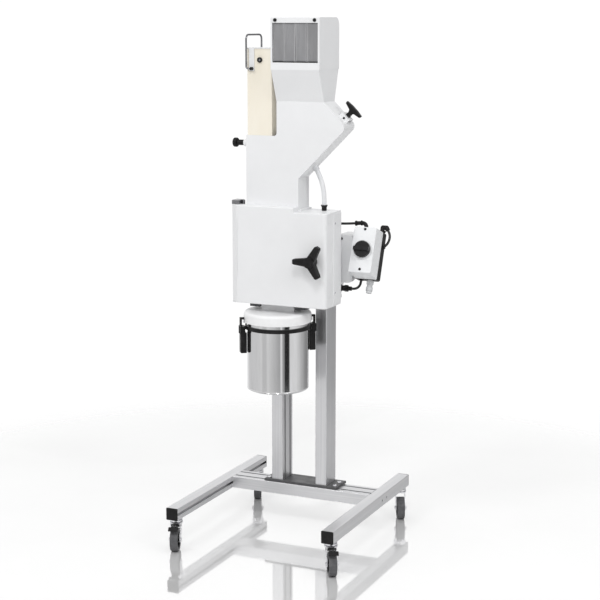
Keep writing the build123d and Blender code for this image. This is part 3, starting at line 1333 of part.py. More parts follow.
def switch_console():
    """Folded arm from the drive bracket out to a sloping tray under the switch box."""
    back = cover_depth + switch_base_depth
    tilt = radians(switch_tilt)
    z0 = housing_z0 + console_rise
    z1 = z0 + console_height

    def tray_y(z):
        return switch_y + back / cos(tilt) + (z - switch_z) * tan(tilt)

    def profile(inset):
        return [(console_front_y + inset, z0 + inset), (console_front_y + inset, z1 - inset),
                (console_front_y + 20, z1 - inset), (tray_y(z1) - inset * 1.1, z1 - inset),
                (tray_y(z0) - inset * 1.1, z0 + inset)]

    outer = prism_x(profile(0), console_x0, console_x1)
    outer = fillet(edges_at(outer, Axis.Y, X=console_x1, Z=z0), 16)
    arm = outer - prism_x(profile(sheet), console_x0 - 1, console_x1 - sheet)
    x1 = switch_x + switch_width / 2 - 4
    arm += switch_frame * block(console_x0 - switch_x, x1 - switch_x, back, back + sheet, -tray_half_height,
                                tray_half_height)
    screw_x, screw_z = console_x0 + 12, z1 - 12
    arm -= rod_y(screw_x, console_front_y - 1, console_front_y + sheet + 1, screw_z, 2.7)
    parts["switch_console"] = arm
    screw = rod_y(screw_x, console_front_y - 2, console_front_y, screw_z, 4.5)
    parts["console_screw"] = screw + rod_y(screw_x, console_front_y, console_front_y + 12, screw_z, 2.5)


def rod_between(a, b, radius):
    along = Vector(*b) - Vector(*a)
    middle = (Vector(*a) + Vector(*b)) * 0.5
    return Plane(origin=middle, z_dir=along) * Cylinder(radius, along.length)


def loop_glands():
    """Elbow gland on the base's upper edge and the slanted entry on its right side."""
    first, last = radians(loop_angles[0]), radians(loop_angles[-1])
    end = (loop_x, base_mid, loop_z)
    knee = (loop_x - 10 * sin(first), base_mid, loop_z - 10 * cos(first))
    corner = (loop_gland_x, base_mid, knee[2])
    elbow = Pos(loop_gland_x, base_mid, base_edge) * extrude(RegularPolygon(12, 6), 5)
    elbow += rod_z(loop_gland_x, base_mid, base_edge, knee[2], 7.5)
    elbow += rod_between(corner, knee, 7.5) + rod_between(knee, end, 7.5)
    for centre in (corner, knee):
        elbow += Pos(*centre) * Sphere(7.5)
    drop = sum(length * cos(radians(angle)) for angle, length in loop_legs)
    mouth = (loop_end_x, base_mid, loop_z + drop)
    inward = (mouth[0] + 12 * sin(last), base_mid, mouth[2] + 12 * cos(last))
    side = rod_between(mouth, inward, 6.5)
    side -= block(base_side - 30, base_side, base_mid - 20, base_mid + 20, mouth[2] - 30, mouth[2] + 30)
    parts["loop_entries"] = group([switch_frame * elbow, switch_frame * side])


def cable_glands():
    x, end_z = spare_gland_x, -base_edge - spare_gland_length
    spare = Pos(x, base_mid, -base_edge - 13) * extrude(RegularPolygon(12.5, 6), 13)
    spare += rod_z(x, base_mid, end_z, -base_edge - 13, 9)
    spare += rod_z(x, base_mid, end_z + 8, end_z + 20, 11)
    spare -= rod_z(x, base_mid, end_z - 1, -base_edge + 1, spare_bore_radius)
    parts["spare_gland"] = switch_frame * spare
    lower = rod_z(low_entry_x, base_mid, -base_edge - entry_length, -base_edge, 8)
    parts["lower_entry"] = switch_frame * lower
    loop_glands()
    y, z = low_gland_y, low_gland_z
    nut = (low_gland_x - bracket_x1) / 4
    gland = rod_x(bracket_x1 - bracket_side - 6, bracket_x1, y, z, 8)
    for step, corner in ((0, 12), (2, 11)):
        gland += Pos(bracket_x1 + step * nut, y, z) * Rot(0, 90, 0) * extrude(RegularPolygon(corner, 6), nut)
    gland += rod_x(bracket_x1, bracket_x1 + 3 * nut, y, z, 9)
    gland += rod_x(bracket_x1, low_gland_x, y, z, 7)
    parts["lower_gland"] = gland


def cables():
    start = Plane(origin=elbow_left, z_dir=Vector(*elbow_top) - Vector(*elbow_left))
    path = FilletPolyline(elbow_left, elbow_top, elbow_end, radius=[14])
    elbow = sweep(start * Circle(6.5), path=path)
    run = Vector(*elbow_run)
    for near, far in ((0, 0.14), (0.5, 0.6)):
        ends = [tuple(Vector(*elbow_left) + run * share) for share in (near, far)]
        elbow += rod_between(*ends, 8.5)
    parts["cable_elbow"] = elbow
    parts["cable_top"] = cord_tube(top_route, cable_radius)
    parts["cable_low"] = cord_tube(low_route, cable_radius)
    parts["cable_loop"] = cord_tube(route(loop_start, leaning_up, (1, 0, 0), loop_legs), cable_radius)


def build():
    rails()
    cross_beam()
    frame_screws()
    end_caps()
    base_plate()
    plate_screws()
    posts()
    post_screws()
    castors()
    housing_shell()
    side_cover()
    lock_block()
    door_shell()
    door_plate()
    hinge_brackets()
    star_handle()
    chamber_block()
    cutting_bars()
    sieve()
    rotor()
    drive_shaft()
    drive_bracket()
    chamber_screws()
    motor()
    fan()
    fan_cover()
    terminal_box()
    hopper_body()
    hood()
    curtain()
    plunger()
    plunger_bail()
    index_plunger()
    t_handle()
    conduit()
    outlet_chute()
    guide_rails()
    lid()
    vessel()
    clamp_ring()
    clamp(-1, "left")
    clamp(1, "right")
    switch_box()
    switch_console()
    cable_glands()
    cables()


# Small fixed pieces that share a node with others of the same body
shared_nodes = {
    "side_rails": ("rail_left", "rail_right"),
    "posts": ("post_left", "post_right"),
    "stand_screws": ("frame_screws", "base_plate_screws", "slot_nuts", "post_screws"),
    "castor_stems": tuple(f"castor_stem_{name}" for name in castor_places),
    "housing_shell": ("housing_shell", "side_cover"),
    "hinge_brackets": ("hinge_bracket_top", "hinge_bracket_bottom", "hinge_pins", "hinge_stop_bolt",
                       "lock_block"),
    "door_plate": ("door_plate", "door_plate_screws"),
    "star_handle": ("star_handle", "star_screw"),
    "cutting_bars": ("cutting_bar_left", "cutting_bar_right"),
    "mill_screws": ("chamber_screws", "motor_screws", "cutting_bar_screws", "side_cover_screws",
                    "switch_screws", "yoke_screw", "console_screw"),
    "drive_shaft": ("drive_shaft", "rotor_key", "rotor_washer", "rotor_screw", "motor_rotor"),
    "motor_housing": ("motor_housing", "terminal_box"),
    "motor_end_shields": ("motor_front_shield", "motor_rear_shield", "bearing_front", "bearing_rear",
                          "shaft_seal"),
    "curtain_fixings": ("curtain_bar", "hood_screws"),
    "plunger_bracket": ("plunger_strap", "plunger_bolt", "plunger_bail", "bail_bolts"),
    "index_knob": ("index_knob", "index_pin"),
    "pull_pin_mounts": ("index_boss", "pull_pin_yoke"),
    "pull_handle": ("pull_handle", "pull_pin"),
    "outlet_chute": ("outlet_chute", "guide_rail_left", "guide_rail_right"),
    "lid": ("lid", "lid_catches"),
    "switch_cover": ("switch_cover", "switch_collar"),
    "switch_base": ("switch_base", "switch_mechanism"),
    "cable_glands": ("spare_gland", "lower_entry", "loop_entries", "lower_gland", "terminal_gland",
                     "conduit_gland", "conduit_ferrule", "cable_elbow"),
}
for corner in castor_places:
    shared_nodes[f"castor_fork_{corner}"] = (f"castor_fork_{corner}", f"castor_axle_{corner}")
    shared_nodes[f"castor_wheel_{corner}"] = (f"castor_hub_{corner}", f"castor_tyre_{corner}")

build()
for node, members in shared_nodes.items():
    parts[node] = group([parts.pop(member) for member in members])
os.makedirs("parts", exist_ok=True)
for name, shape in parts.items():
    export_step(shape, f"parts/{name}.step")
print(len(parts), "nodes")
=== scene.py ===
import math

import bmesh
import bpy
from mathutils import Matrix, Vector


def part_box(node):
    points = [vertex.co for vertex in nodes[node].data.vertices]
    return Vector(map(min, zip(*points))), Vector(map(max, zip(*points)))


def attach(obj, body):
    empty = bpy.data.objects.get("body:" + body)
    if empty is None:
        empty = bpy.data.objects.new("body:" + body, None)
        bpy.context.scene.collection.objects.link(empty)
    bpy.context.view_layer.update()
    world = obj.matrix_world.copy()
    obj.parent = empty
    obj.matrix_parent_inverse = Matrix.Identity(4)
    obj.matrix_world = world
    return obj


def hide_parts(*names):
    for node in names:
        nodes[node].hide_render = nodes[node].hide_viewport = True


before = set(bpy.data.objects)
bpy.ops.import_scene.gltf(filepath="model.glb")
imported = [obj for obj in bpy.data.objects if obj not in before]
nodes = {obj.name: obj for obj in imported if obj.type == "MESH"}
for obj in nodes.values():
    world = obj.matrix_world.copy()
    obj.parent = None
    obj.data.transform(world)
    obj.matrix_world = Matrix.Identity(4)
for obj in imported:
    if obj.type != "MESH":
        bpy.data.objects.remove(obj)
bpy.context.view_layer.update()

scene = bpy.context.scene

# Camera at the photograph's view, in metres
eye = Vector((2.0340, -4.4142, 1.6867))
target = Vector((0.03039, 0.0, 0.78799))
camera_data = bpy.data.cameras.new("camera")
camera_data.lens = 91.4
camera_data.sensor_width = 36.0
camera = bpy.data.objects.new("camera", camera_data)
camera.location = eye
camera.rotation_euler = (target - eye).to_track_quat("-Z", "Y").to_euler()
scene.collection.objects.link(camera)
scene.camera = camera

# Detail and roughness of each noise, and the noise values that the colour and the gloss are spread between
tone_noise = (4.0, 0.6)
gloss_noise = (3.0, 0.6)
grain_noise = (2.0, 0.5)
wave_noise = (2.0, 0.4)
tone_band = (0.35, 0.65)
gloss_band = (0.3, 0.7)
wave_scale = 9.0
wave_height = 0.004

# Sockets of a colour Mix node, which share their names with those of its other kinds
first_colour = 6
second_colour = 7
mixed_colour = 2


class Graph:
    """A node tree with short calls for the nodes that the materials and the world share."""

    def __init__(self, tree):
        self.tree = tree
        tree.nodes.clear()

    def add(self, kind, **values):
        node = self.tree.nodes.new(kind)
        for key, value in values.items():
            setattr(node, key, value)
        return node

    def link(self, source, target):
        self.tree.links.new(source, target)

    def noise(self, scale, detail, roughness):
        """Noise in the part's own metres, with its own scale along each axis."""
        coordinates = self.add("ShaderNodeTexCoord")
        mapping = self.add("ShaderNodeMapping")
        mapping.inputs["Scale"].default_value = scale
        texture = self.add("ShaderNodeTexNoise")
        texture.inputs["Scale"].default_value = 1.0
        texture.inputs["Detail"].default_value = detail
        texture.inputs["Roughness"].default_value = roughness
        self.link(coordinates.outputs["Object"], mapping.inputs["Vector"])
        self.link(mapping.outputs["Vector"], texture.inputs["Vector"])
        return texture.outputs["Fac"]

    def ramp(self, factor, stops):
        """A colour that runs through stops of a place and a colour each."""
        node = self.add("ShaderNodeValToRGB")
        elements = node.color_ramp.elements
        while len(elements) < len(stops):
            elements.new(0.5)
        for element, (place, colour) in zip(elements, stops):
            element.position = place
            element.color = (*colour, 1.0)
        self.link(factor, node.inputs["Fac"])
        return node.outputs["Color"]

    def span(self, value, band, ends=(0.0, 1.0), easing="LINEAR"):
        """A value in a band, mapped to lie between two ends."""
        node = self.add("ShaderNodeMapRange", interpolation_type=easing)
        node.inputs["From Min"].default_value = band[0]
        node.inputs["From Max"].default_value = band[1]
        node.inputs["To Min"].default_value = ends[0]
        node.inputs["To Max"].default_value = ends[1]
        self.link(value, node.inputs["Value"])
        return node.outputs["Result"]

    def bump(self, height, strength, distance, normal=None):
        node = self.add("ShaderNodeBump")
        node.inputs["Strength"].default_value = strength
        node.inputs["Distance"].default_value = distance
        self.link(height, node.inputs["Height"])
        if normal:
            self.link(normal, node.inputs["Normal"])
        return node.outputs["Normal"]

    def blend(self, factor, first, second):
        """A mix of two colours. The second is a socket, or a level of plain white."""
        node = self.add("ShaderNodeMix", data_type="RGBA")
        self.link(factor, node.inputs["Factor"])
        self.link(first, node.inputs[first_colour])
        if isinstance(second, float):
            node.inputs[second_colour].default_value = (*even(second), 1.0)
        else:
            self.link(second, node.inputs[second_colour])
        return node.outputs[mixed_colour]

    def fade(self, surface, near, far):
        """Turns a surface clear between two distances from its own middle."""
        coordinates = self.add("ShaderNodeTexCoord")
        distance = self.add("ShaderNodeVectorMath", operation="LENGTH")
        self.link(coordinates.outputs["Object"], distance.inputs[0])
        clear = self.span(distance.outputs["Value"], (near, far), easing="SMOOTHSTEP")
        open_surface = self.add("ShaderNodeBsdfTransparent")
        mix = self.add("ShaderNodeMixShader")
        self.link(clear, mix.inputs["Fac"])
        self.link(surface, mix.inputs[1])
        self.link(open_surface.outputs["BSDF"], mix.inputs[2])
        return mix.outputs["Shader"]


def even(value):
    return (value, value, value)


def finish_of(name, tones, tone_scale, roughness, rough_scale, grain_scale, grain, metallic=0.0,
              specular=0.5, wave=0.0, fade=None):
    """A surface whose colour, gloss and relief each come from their own noise.

    A grain is its strength and height. A fade is the distances between which the surface turns clear.
    """
    material = bpy.data.materials.new(name)
    material.use_nodes = True
    graph = Graph(material.node_tree)
    shader = graph.add("ShaderNodeBsdfPrincipled")
    output = graph.add("ShaderNodeOutputMaterial")
    surface = shader.outputs["BSDF"]
    if fade:
        surface = graph.fade(surface, *fade)
    graph.link(surface, output.inputs["Surface"])
    tone = graph.noise(tone_scale, *tone_noise)
    graph.link(graph.ramp(tone, list(zip(tone_band, tones))), shader.inputs["Base Color"])
    gloss = graph.noise(rough_scale, *gloss_noise)
    graph.link(graph.span(gloss, gloss_band, roughness), shader.inputs["Roughness"])
    relief = graph.bump(graph.noise(grain_scale, *grain_noise), *grain)
    if wave:
        relief = graph.bump(graph.noise(even(wave_scale), *wave_noise), wave, wave_height, relief)
    graph.link(relief, shader.inputs["Normal"])
    shader.inputs["Metallic"].default_value = metallic
    shader.inputs["Specular IOR Level"].default_value = specular
    return material


def along(axis, length_scale, cross_scale):
    """A noise scale with one value along an axis and another across it."""
    scale = [cross_scale] * 3
    scale["XYZ".index(axis)] = length_scale
    return tuple(scale)


def extruded(axis):
    """Natural anodised aluminium with the die's fine lines along one axis."""
    return finish_of(
        f"anodised_{axis.lower()}", tones=[(0.60, 0.60, 0.615), (0.68, 0.68, 0.69)],
        tone_scale=along(axis, 2.5, 420.0), roughness=(0.30, 0.42), rough_scale=along(axis, 6.0, 160.0),
        grain_scale=along(axis, 5.0, 900.0), grain=(0.10, 0.0002), metallic=0.92)


white = finish_of(
    "powder_white", tones=[(0.80, 0.805, 0.815), (0.83, 0.835, 0.845)], tone_scale=even(6.0),
    roughness=(0.36, 0.46), rough_scale=even(30.0), grain_scale=even(620.0), grain=(0.05, 0.0003),
    wave=0.02)
lid_white = finish_of(
    "lid_white", tones=[(0.86, 0.86, 0.865), (0.885, 0.885, 0.89)], tone_scale=even(8.0),
    roughness=(0.28, 0.36), rough_scale=even(30.0), grain_scale=even(520.0), grain=(0.04, 0.0002))
anodised = {axis: extruded(axis) for axis in "XYZ"}
vessel_steel = finish_of(
    "vessel_steel", tones=[(0.61, 0.61, 0.615), (0.68, 0.68, 0.69)], tone_scale=(40.0, 40.0, 4.0),
    roughness=(0.06, 0.10), rough_scale=(60.0, 60.0, 6.0), grain_scale=(260.0, 260.0, 12.0),
    grain=(0.05, 0.0001), metallic=1.0)
steel = finish_of(
    "machined_steel", tones=[(0.50, 0.50, 0.51), (0.60, 0.60, 0.61)], tone_scale=even(60.0),
    roughness=(0.24, 0.38), rough_scale=even(140.0), grain_scale=even(700.0), grain=(0.08, 0.0002),
    metallic=1.0)
rod_steel = finish_of(
    "rod_steel", tones=[(0.20, 0.20, 0.21), (0.28, 0.28, 0.29)], tone_scale=even(70.0),
    roughness=(0.24, 0.36), rough_scale=even(160.0), grain_scale=even(800.0), grain=(0.08, 0.0002),
    metallic=1.0)
zinc = finish_of(
    "zinc_plate", tones=[(0.62, 0.62, 0.65), (0.78, 0.78, 0.79)], tone_scale=even(120.0),
    roughness=(0.18, 0.34), rough_scale=even(90.0), grain_scale=even(500.0), grain=(0.10, 0.0003),
    metallic=1.0)
cast = finish_of(
    "cast_grey", tones=[(0.26, 0.26, 0.27), (0.34, 0.34, 0.35)], tone_scale=even(80.0),
    roughness=(0.42, 0.6), rough_scale=even(120.0), grain_scale=even(420.0), grain=(0.25, 0.0005),
    metallic=0.85)
black = finish_of(
    "black_moulded", tones=[(0.008, 0.008, 0.008), (0.016, 0.015, 0.016)], tone_scale=even(60.0),
    roughness=(0.34, 0.48), rough_scale=even(80.0), grain_scale=even(1100.0), grain=(0.12, 0.0002),
    specular=0.16)
gloss_black = finish_of(
    "black_gloss", tones=[(0.004, 0.004, 0.004), (0.008, 0.008, 0.009)], tone_scale=even(60.0),
    roughness=(0.10, 0.18), rough_scale=even(60.0), grain_scale=even(900.0), grain=(0.03, 0.0001),
    specular=0.3)
black_plate = finish_of(
    "black_plate", tones=[(0.060, 0.060, 0.062), (0.082, 0.082, 0.085)], tone_scale=even(40.0),
    roughness=(0.34, 0.5), rough_scale=even(50.0), grain_scale=even(900.0), grain=(0.12, 0.0002),
    specular=0.4)
dark_steel = finish_of(
    "dark_steel", tones=[(0.060, 0.060, 0.064), (0.11, 0.11, 0.115)], tone_scale=even(60.0),
    roughness=(0.30, 0.44), rough_scale=even(120.0), grain_scale=even(800.0), grain=(0.1, 0.0002),
    metallic=0.7)
tyre = finish_of(
    "castor_tyre", tones=[(0.085, 0.085, 0.09), (0.125, 0.125, 0.13)], tone_scale=even(60.0),
    roughness=(0.46, 0.6), rough_scale=even(90.0), grain_scale=even(700.0), grain=(0.18, 0.0003),
    specular=0.2)
hub = finish_of(
    "castor_hub", tones=[(0.014, 0.014, 0.015), (0.026, 0.026, 0.027)], tone_scale=even(60.0),
    roughness=(0.40, 0.52), rough_scale=even(90.0), grain_scale=even(700.0), grain=(0.1, 0.0002),
    specular=0.2)
cream = finish_of(
    "plunger_cream", tones=[(0.86, 0.80, 0.68), (0.90, 0.85, 0.74)], tone_scale=(14.0, 14.0, 3.0),
    roughness=(0.36, 0.5), rough_scale=(60.0, 60.0, 12.0), grain_scale=(900.0, 900.0, 40.0),
    grain=(0.05, 0.0002))
curtain_grey = finish_of(
    "curtain_grey", tones=[(0.20, 0.20, 0.205), (0.27, 0.27, 0.28)], tone_scale=(18.0, 18.0, 4.0),
    roughness=(0.24, 0.42), rough_scale=(60.0, 60.0, 9.0), grain_scale=(300.0, 300.0, 30.0),
    grain=(0.1, 0.0004))
# A lighter grey for the strips' edges than for their middles: a painted highlight where light catches the
# bowed strips
curtain_edge_highlight = finish_of(
    "curtain_edge_highlight", tones=[(0.30, 0.30, 0.31), (0.40, 0.40, 0.41)], tone_scale=(40.0, 40.0, 6.0),
    roughness=(0.20, 0.36), rough_scale=(60.0, 60.0, 9.0), grain_scale=(300.0, 300.0, 30.0),
    grain=(0.1, 0.0004))
motor_grey = finish_of(
    "motor_paint", tones=[(0.30, 0.32, 0.34), (0.36, 0.38, 0.40)], tone_scale=even(30.0),
    roughness=(0.34, 0.5), rough_scale=even(60.0), grain_scale=even(500.0), grain=(0.14, 0.0003))
box_white = finish_of(
    "box_white", tones=[(0.80, 0.81, 0.82), (0.84, 0.85, 0.86)], tone_scale=even(20.0),
    roughness=(0.30, 0.42), rough_scale=even(60.0), grain_scale=even(900.0), grain=(0.06, 0.0002))
gland_grey = finish_of(
    "gland_grey", tones=[(0.52, 0.53, 0.54), (0.62, 0.63, 0.64)], tone_scale=even(70.0),
    roughness=(0.34, 0.48), rough_scale=even(90.0), grain_scale=even(900.0), grain=(0.08, 0.0002))
conduit_grey = finish_of(
    "conduit_grey", tones=[(0.72, 0.73, 0.75), (0.78, 0.79, 0.80)], tone_scale=even(30.0),
    roughness=(0.34, 0.46), rough_scale=even(60.0), grain_scale=even(700.0), grain=(0.08, 0.0002))
rubber = finish_of(
    "cable_sheath", tones=[(0.010, 0.010, 0.010), (0.020, 0.020, 0.020)], tone_scale=even(90.0),
    roughness=(0.40, 0.55), rough_scale=even(120.0), grain_scale=even(1200.0), grain=(0.15, 0.0002),
    specular=0.4)


def paint(name, main, *rules):
    """Gives a node its material, and other materials to the faces whose centres a rule accepts."""
    mesh = nodes[name].data
    mesh.materials.clear()
    for material in (main, *(material for _, material in rules)):
        mesh.materials.append(material)
    for face in mesh.polygons:
        face.material_index = 0
        for index, (accepts, _) in enumerate(rules):
            if accepts(face.center):
                face.material_index = index + 1


def within(axis_x, axis_z, low, high):
    """Faces whose centres lie between two radii about an axis along Y."""
    return lambda c: low <= math.hypot(c.x - axis_x, c.z - axis_z) < high


for name in ("housing_shell", "door_shell", "hopper_body", "hood", "drive_bracket", "switch_console",
             "pull_pin_mounts"):
    paint(name, white)
for name in ("rail_end_caps", "star_handle", "index_knob", "pull_handle", "clamp_ring", "clamp_handle_left",
             "clamp_handle_right", "clamp_hook_left", "clamp_hook_right", "switch_base", "fan",
             "curtain_fixings"):
    paint(name, black)
for name in ("door_plate", "cutting_bars", "sieve", "rotor", "drive_shaft"):
    paint(name, steel)
for name in ("chamber_block", "motor_stator"):
    paint(name, cast)
for name in ("motor_housing", "motor_end_shields", "fan_cover"):
    paint(name, motor_grey)
paint("side_rails", anodised["Y"])
paint("cross_beam", anodised["X"])
paint("posts", anodised["Z"])
paint("base_plate", black_plate)
paint("castor_stems", zinc)
paint("plunger_block", cream)
paint("vessel", vessel_steel)
paint("switch_cover", box_white)
paint("switch_knob", gloss_black)

# The pedals' rivets stand above their tops, and the stand's lowest screws are dark
pedal_top_z = 0.0879
low_screw_z = 0.142
for side in ("left", "right"):
    paint(f"brake_pedal_front_{side}", black, (lambda c: c.z > pedal_top_z, zinc))
paint("stand_screws", zinc, (lambda c: c.z < low_screw_z, dark_steel))

# The mill's black screws: those of the sprung handle's yoke, the switch box and its console
yoke_screw_z = 1.3
switch_screw_x = 0.2
console_screw_x = (0.144, 0.156)
console_screw_y = 0.05


def is_black_screw(c):
    on_console = console_screw_x[0] < c.x < console_screw_x[1] and c.y > console_screw_y
    return c.z > yoke_screw_z or c.x > switch_screw_x or on_console


paint("mill_screws", zinc, (is_black_screw, black))

# The lower hinge bracket is painted with the housing
low_bracket_z = 0.784
paint("hinge_brackets", rod_steel, (lambda c: c.z < low_bracket_z, white))

# The lid's catches stand out from its rim, and the outlet's guide rails from its sides
lid_x = -0.031
lid_y = -0.040
lid_rim = 0.1102
rail_inner_x = (-0.0925, 0.0325)
paint("lid", lid_white, (lambda c: math.hypot(c.x - lid_x, c.y - lid_y) > lid_rim, zinc))
paint("outlet_chute", white, (lambda c: not rail_inner_x[0] <= c.x <= rail_inner_x[1], dark_steel))

# The plunger's strap, with its bail, the bail's two bolts and the ring bolt
strap_top_z = 1.5945
bail_y = (-0.0618, 0.0243)
bolt_x = -0.1064
bolt_z = 1.529
bolt_half_x = 0.0075
bolt_half_z = 0.0056
bolt_heads_y = (-0.0598, 0.0218)
ring_x = -0.082
ring_z = 1.556
ring_bore = 0.0041
ring_rim = 0.0090


def is_bail(c):
    return c.z > strap_top_z or not bail_y[0] <= c.y <= bail_y[1]


def is_bail_bolt(c):
    beside_axis = abs(c.z - bolt_z) < bolt_half_z and abs(c.x - bolt_x) < bolt_half_x
    return beside_axis and not bolt_heads_y[0] < c.y < bolt_heads_y[1]


paint("plunger_bracket", white, (is_bail, rod_steel), (is_bail_bolt, black),
      (within(ring_x, ring_z, ring_bore, ring_rim), black),
      (within(ring_x, ring_z, 0.0, ring_bore), rod_steel))

# The conduit's ferrule is the highest of the glands, and the spare gland the lowest below the switch box
ferrule_z = 1.17
spare_gland_x = 0.230
spare_gland_z = 0.8565
paint("cable_glands", black, (lambda c: c.z > ferrule_z, conduit_grey),
      (lambda c: c.x > spare_gland_x and c.z < spare_gland_z, gland_grey))

# Castors: on which side in X and in Y each stands, and the degrees that its wheel is turned by
castors = {"front_left": (-1, -1, 19.0), "front_right": (1, -1, 31.0), "back_right": (1, 1, 26.0),
           "back_left": (-1, 1, 24.0)}
castor_x = 0.271
castor_y = 0.300
castor_trail = 0.024
wheel_radius = 0.0375
hub_radius = 0.0284
for corner, (side_x, side_y, heading) in castors.items():
    turn_by = math.radians(heading)
    axle = Vector((math.cos(turn_by), math.sin(turn_by), 0.0))
    middle = Vector((side_x * castor_x + castor_trail * axle.y, side_y * castor_y - castor_trail * axle.x,
                     wheel_radius))
    paint(f"castor_fork_{corner}", zinc)
    paint(f"castor_wheel_{corner}", tyre,
          (lambda c, m=middle, a=axle: (c - m - a * (c - m).dot(a)).length < hub_radius, hub))

# Curtain: four strips of flexible plastic that hang side by side in the hood's mouth. Each is bowed back
# across its width, more so lower down, and sways and ripples a little down its length.
strip_count = 4
columns = 12
rows = 26
strip_gap = 0.0006
strip_thickness = 0.0018
strip_depth = 0.0030
strip_bow = 0.0022
top_bow_share = 0.4
strip_sway = 0.0016
sway_start = 1.7
sway_step = 2.3
strip_ripple = 0.0006
ripple_turn = 5.0
ripple_step = 1.9
(low_x, front_y, low_z), (high_x, _, high_z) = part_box("curtain_strips")
pitch = (high_x - low_x) / strip_count
strip_mesh = bpy.data.meshes.new("curtain")
shape = bmesh.new()
for strip in range(strip_count):
    left = low_x + strip * pitch + strip_gap / 2
    grid = []
    for row in range(rows + 1):
        fall = row / rows
        sway = strip_sway * fall * fall * math.sin(sway_start + sway_step * strip)
        ripple = strip_ripple * math.sin(ripple_turn * fall + ripple_step * strip)
        line = []
        for column in range(columns + 1):
            across = column / columns
            bow = strip_bow * (2.0 * across - 1.0) ** 2 * (top_bow_share + (1.0 - top_bow_share) * fall)
            x = left + across * (pitch - strip_gap)
            y = front_y + strip_depth - bow + sway + ripple
            z = high_z - fall * (high_z - low_z)
            line.append(shape.verts.new((x, y, z)))
        grid.append(line)
    for upper, lower in zip(grid, grid[1:]):
        for column in range(columns):
            face = shape.faces.new((upper[column], lower[column], lower[column + 1], upper[column + 1]))
            face.smooth = True
            # The outermost column of faces on each side of a strip takes the lighter grey: a painted
            # highlight along its edges
            face.material_index = 1 if column in (0, columns - 1) else 0
shape.to_mesh(strip_mesh)
shape.free()
strip_mesh.materials.append(curtain_grey)
strip_mesh.materials.append(curtain_edge_highlight)
curtain = bpy.data.objects.new("curtain", strip_mesh)
scene.collection.objects.link(curtain)
thickness = curtain.modifiers.new("thickness", "SOLIDIFY")
thickness.thickness = strip_thickness
thickness.offset = 0.0
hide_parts("curtain_strips")
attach(curtain, "stand")

# Conduit and cables: material, diameter, length and the points of the route that the CAD solids follow
conduit_diameter = 0.015
cable_diameter = 0.008
cords = {
    "conduit": (conduit_grey, conduit_diameter, 0.1134, [
        (0.0944, -0.0100, 1.2120), (0.1059, -0.0100, 1.1893), (0.1146, -0.0100, 1.1627),
        (0.1193, -0.0100, 1.1327), (0.1193, -0.0100, 1.1030)]),
    "cable_top": (rubber, cable_diameter, 0.1356, [
        (0.0629, 0.1163, 0.9840), (0.0629, 0.1163, 1.0029), (0.0726, 0.1178, 1.0192),
        (0.0891, 0.1204, 1.0281), (0.1147, 0.1245, 1.0271), (0.1424, 0.1288, 1.0276),
        (0.1680, 0.1329, 1.0297)]),
    "cable_low": (rubber, cable_diameter, 0.0484, [
        (0.1849, 0.0618, 0.8265), (0.1972, 0.0618, 0.8265), (0.2079, 0.0640, 0.8323),
        (0.2140, 0.0677, 0.8422), (0.2140, 0.0720, 0.8538)]),
    "cable_loop": (rubber, cable_diameter, 0.0614, [
        (0.2818, 0.1315, 1.0130), (0.2869, 0.1290, 1.0062), (0.2901, 0.1261, 0.9986),
        (0.2914, 0.1231, 0.9904), (0.2906, 0.1200, 0.9822), (0.2878, 0.1171, 0.9744),
        (0.2832, 0.1145, 0.9674), (0.2770, 0.1123, 0.9615)]),
}
for name, (material, diameter, length, points) in cords.items():
    data = bpy.data.curves.new(f"{name}_line", "CURVE")
    data.dimensions = "3D"
    data.bevel_depth = diameter / 2
    data.bevel_resolution = 6
    data.resolution_u = 12
    data.use_fill_caps = True
    spline = data.splines.new("NURBS")
    spline.points.add(len(points) - 1)
    for point, place in zip(spline.points, points):
        point.co = (*place, 1.0)
    spline.order_u = 3
    spline.use_endpoint_u = True
    data.materials.append(material)
    piece = bpy.data.objects.new(f"{name}_run", data)
    scene.collection.objects.link(piece)
    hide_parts(name)
    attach(piece, "stand")

# Floor: a glossy pale disc that turns clear towards its rim
floor_radius = 2.4
floor_fade = (1.3, 2.3)
floor_mesh = bpy.data.meshes.new("floor")
shape = bmesh.new()
bmesh.ops.create_circle(shape, cap_ends=True, segments=96, radius=floor_radius)
shape.to_mesh(floor_mesh)
shape.free()
floor = bpy.data.objects.new("floor", floor_mesh)
scene.collection.objects.link(floor)
floor_mesh.materials.append(finish_of(
    "floor_gloss", tones=[(0.93, 0.93, 0.93), (0.95, 0.95, 0.95)], tone_scale=even(2.0),
    roughness=(0.04, 0.06), rough_scale=even(3.0), grain_scale=even(60.0), grain=(0.01, 0.0002),
    metallic=0.45, fade=floor_fade))

# World: a pale room. Low down its walls are bands of light and dark, which the vessel and the posts reflect.
# A height is the Z of a direction of length one, and a bearing the degrees from -Y towards +X.
wall_z = (0.10, 0.24)
ceiling_z = (0.35, 0.75)
ceiling_level = 0.85
seen_level = 1.03
diffuse_share = 0.74


def bearing_stop(degrees, level):
    return ((degrees + 180.0) / 360.0, even(level))


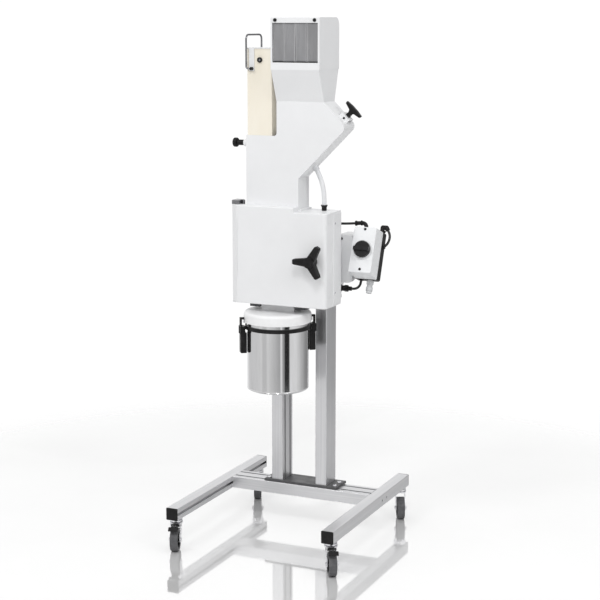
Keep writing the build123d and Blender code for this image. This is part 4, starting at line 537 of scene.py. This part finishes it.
world = bpy.data.worlds.new("studio")
world.use_nodes = True
scene.world = world
graph = Graph(world.node_tree)
background = graph.add("ShaderNodeBackground")
output = graph.add("ShaderNodeOutputWorld")
graph.link(background.outputs["Background"], output.inputs["Surface"])
split = graph.add("ShaderNodeSeparateXYZ")
graph.link(graph.add("ShaderNodeTexCoord").outputs["Generated"], split.inputs["Vector"])
opposite = graph.add("ShaderNodeMath", operation="MULTIPLY")
opposite.inputs[1].default_value = -1.0
graph.link(split.outputs["Y"], opposite.inputs[0])
bearing = graph.add("ShaderNodeMath", operation="ARCTAN2")
graph.link(split.outputs["X"], bearing.inputs[0])
graph.link(opposite.outputs["Value"], bearing.inputs[1])
turn = graph.span(bearing.outputs["Value"], (-math.pi, math.pi))
round_about = graph.ramp(turn, [
    bearing_stop(-180, 1.0), bearing_stop(-172, 1.15), bearing_stop(-130, 1.15), bearing_stop(-100, 0.75),
    bearing_stop(-60, 0.80), bearing_stop(-38, 0.92), bearing_stop(-31, 0.76), bearing_stop(-18, 0.76),
    bearing_stop(-12, 0.95), bearing_stop(-4, 0.84), bearing_stop(14, 0.68), bearing_stop(34, 0.50),
    bearing_stop(36, 0.95), bearing_stop(41, 0.95), bearing_stop(43, 0.45), bearing_stop(49, 0.40),
    bearing_stop(52, 0.03), bearing_stop(68, 0.03), bearing_stop(71, 0.98), bearing_stop(100, 0.92),
    bearing_stop(125, 0.60), bearing_stop(148, 0.36), bearing_stop(165, 0.30), bearing_stop(180, 1.0)])
above = graph.ramp(turn, [
    bearing_stop(-180, 1.08), bearing_stop(95, 1.08), bearing_stop(135, 0.50), bearing_stop(168, 0.50),
    bearing_stop(180, 1.08)])
walls = graph.blend(graph.span(split.outputs["Z"], wall_z), round_about, above)
room = graph.blend(graph.span(split.outputs["Z"], ceiling_z), walls, ceiling_level)

# The room shows as plain white behind the object, and matt surfaces take a little less light from it
path = graph.add("ShaderNodeLightPath")
seen = graph.blend(path.outputs["Is Camera Ray"], room, seen_level)
graph.link(seen, background.inputs["Color"])
share = graph.span(path.outputs["Is Diffuse Ray"], (0.0, 1.0), (1.0, diffuse_share))
graph.link(share, background.inputs["Strength"])

# Lights: place in metres, size in metres and power in watts, all aimed at the middle of the object
lights = {
    "key_left": ((-1.4, -3.0, 4.1), 0.9, 36.0),
    "key_right": ((1.3, -3.0, 3.9), 0.8, 39.0),
    "side_fill": ((2.4, -0.9, 2.3), 1.0, 14.0),
}
light_aim = Vector((0.0, 0.0, 0.9))
for name, (place, size, power) in lights.items():
    data = bpy.data.lights.new(name, "AREA")
    data.shape = "DISK"
    data.size = size
    data.energy = power
    light = bpy.data.objects.new(name, data)
    light.location = place
    light.visible_camera = False
    light.rotation_euler = (light_aim - Vector(place)).to_track_quat("-Z", "Y").to_euler()
    scene.collection.objects.link(light)
scene.view_settings.view_transform = "Standard"
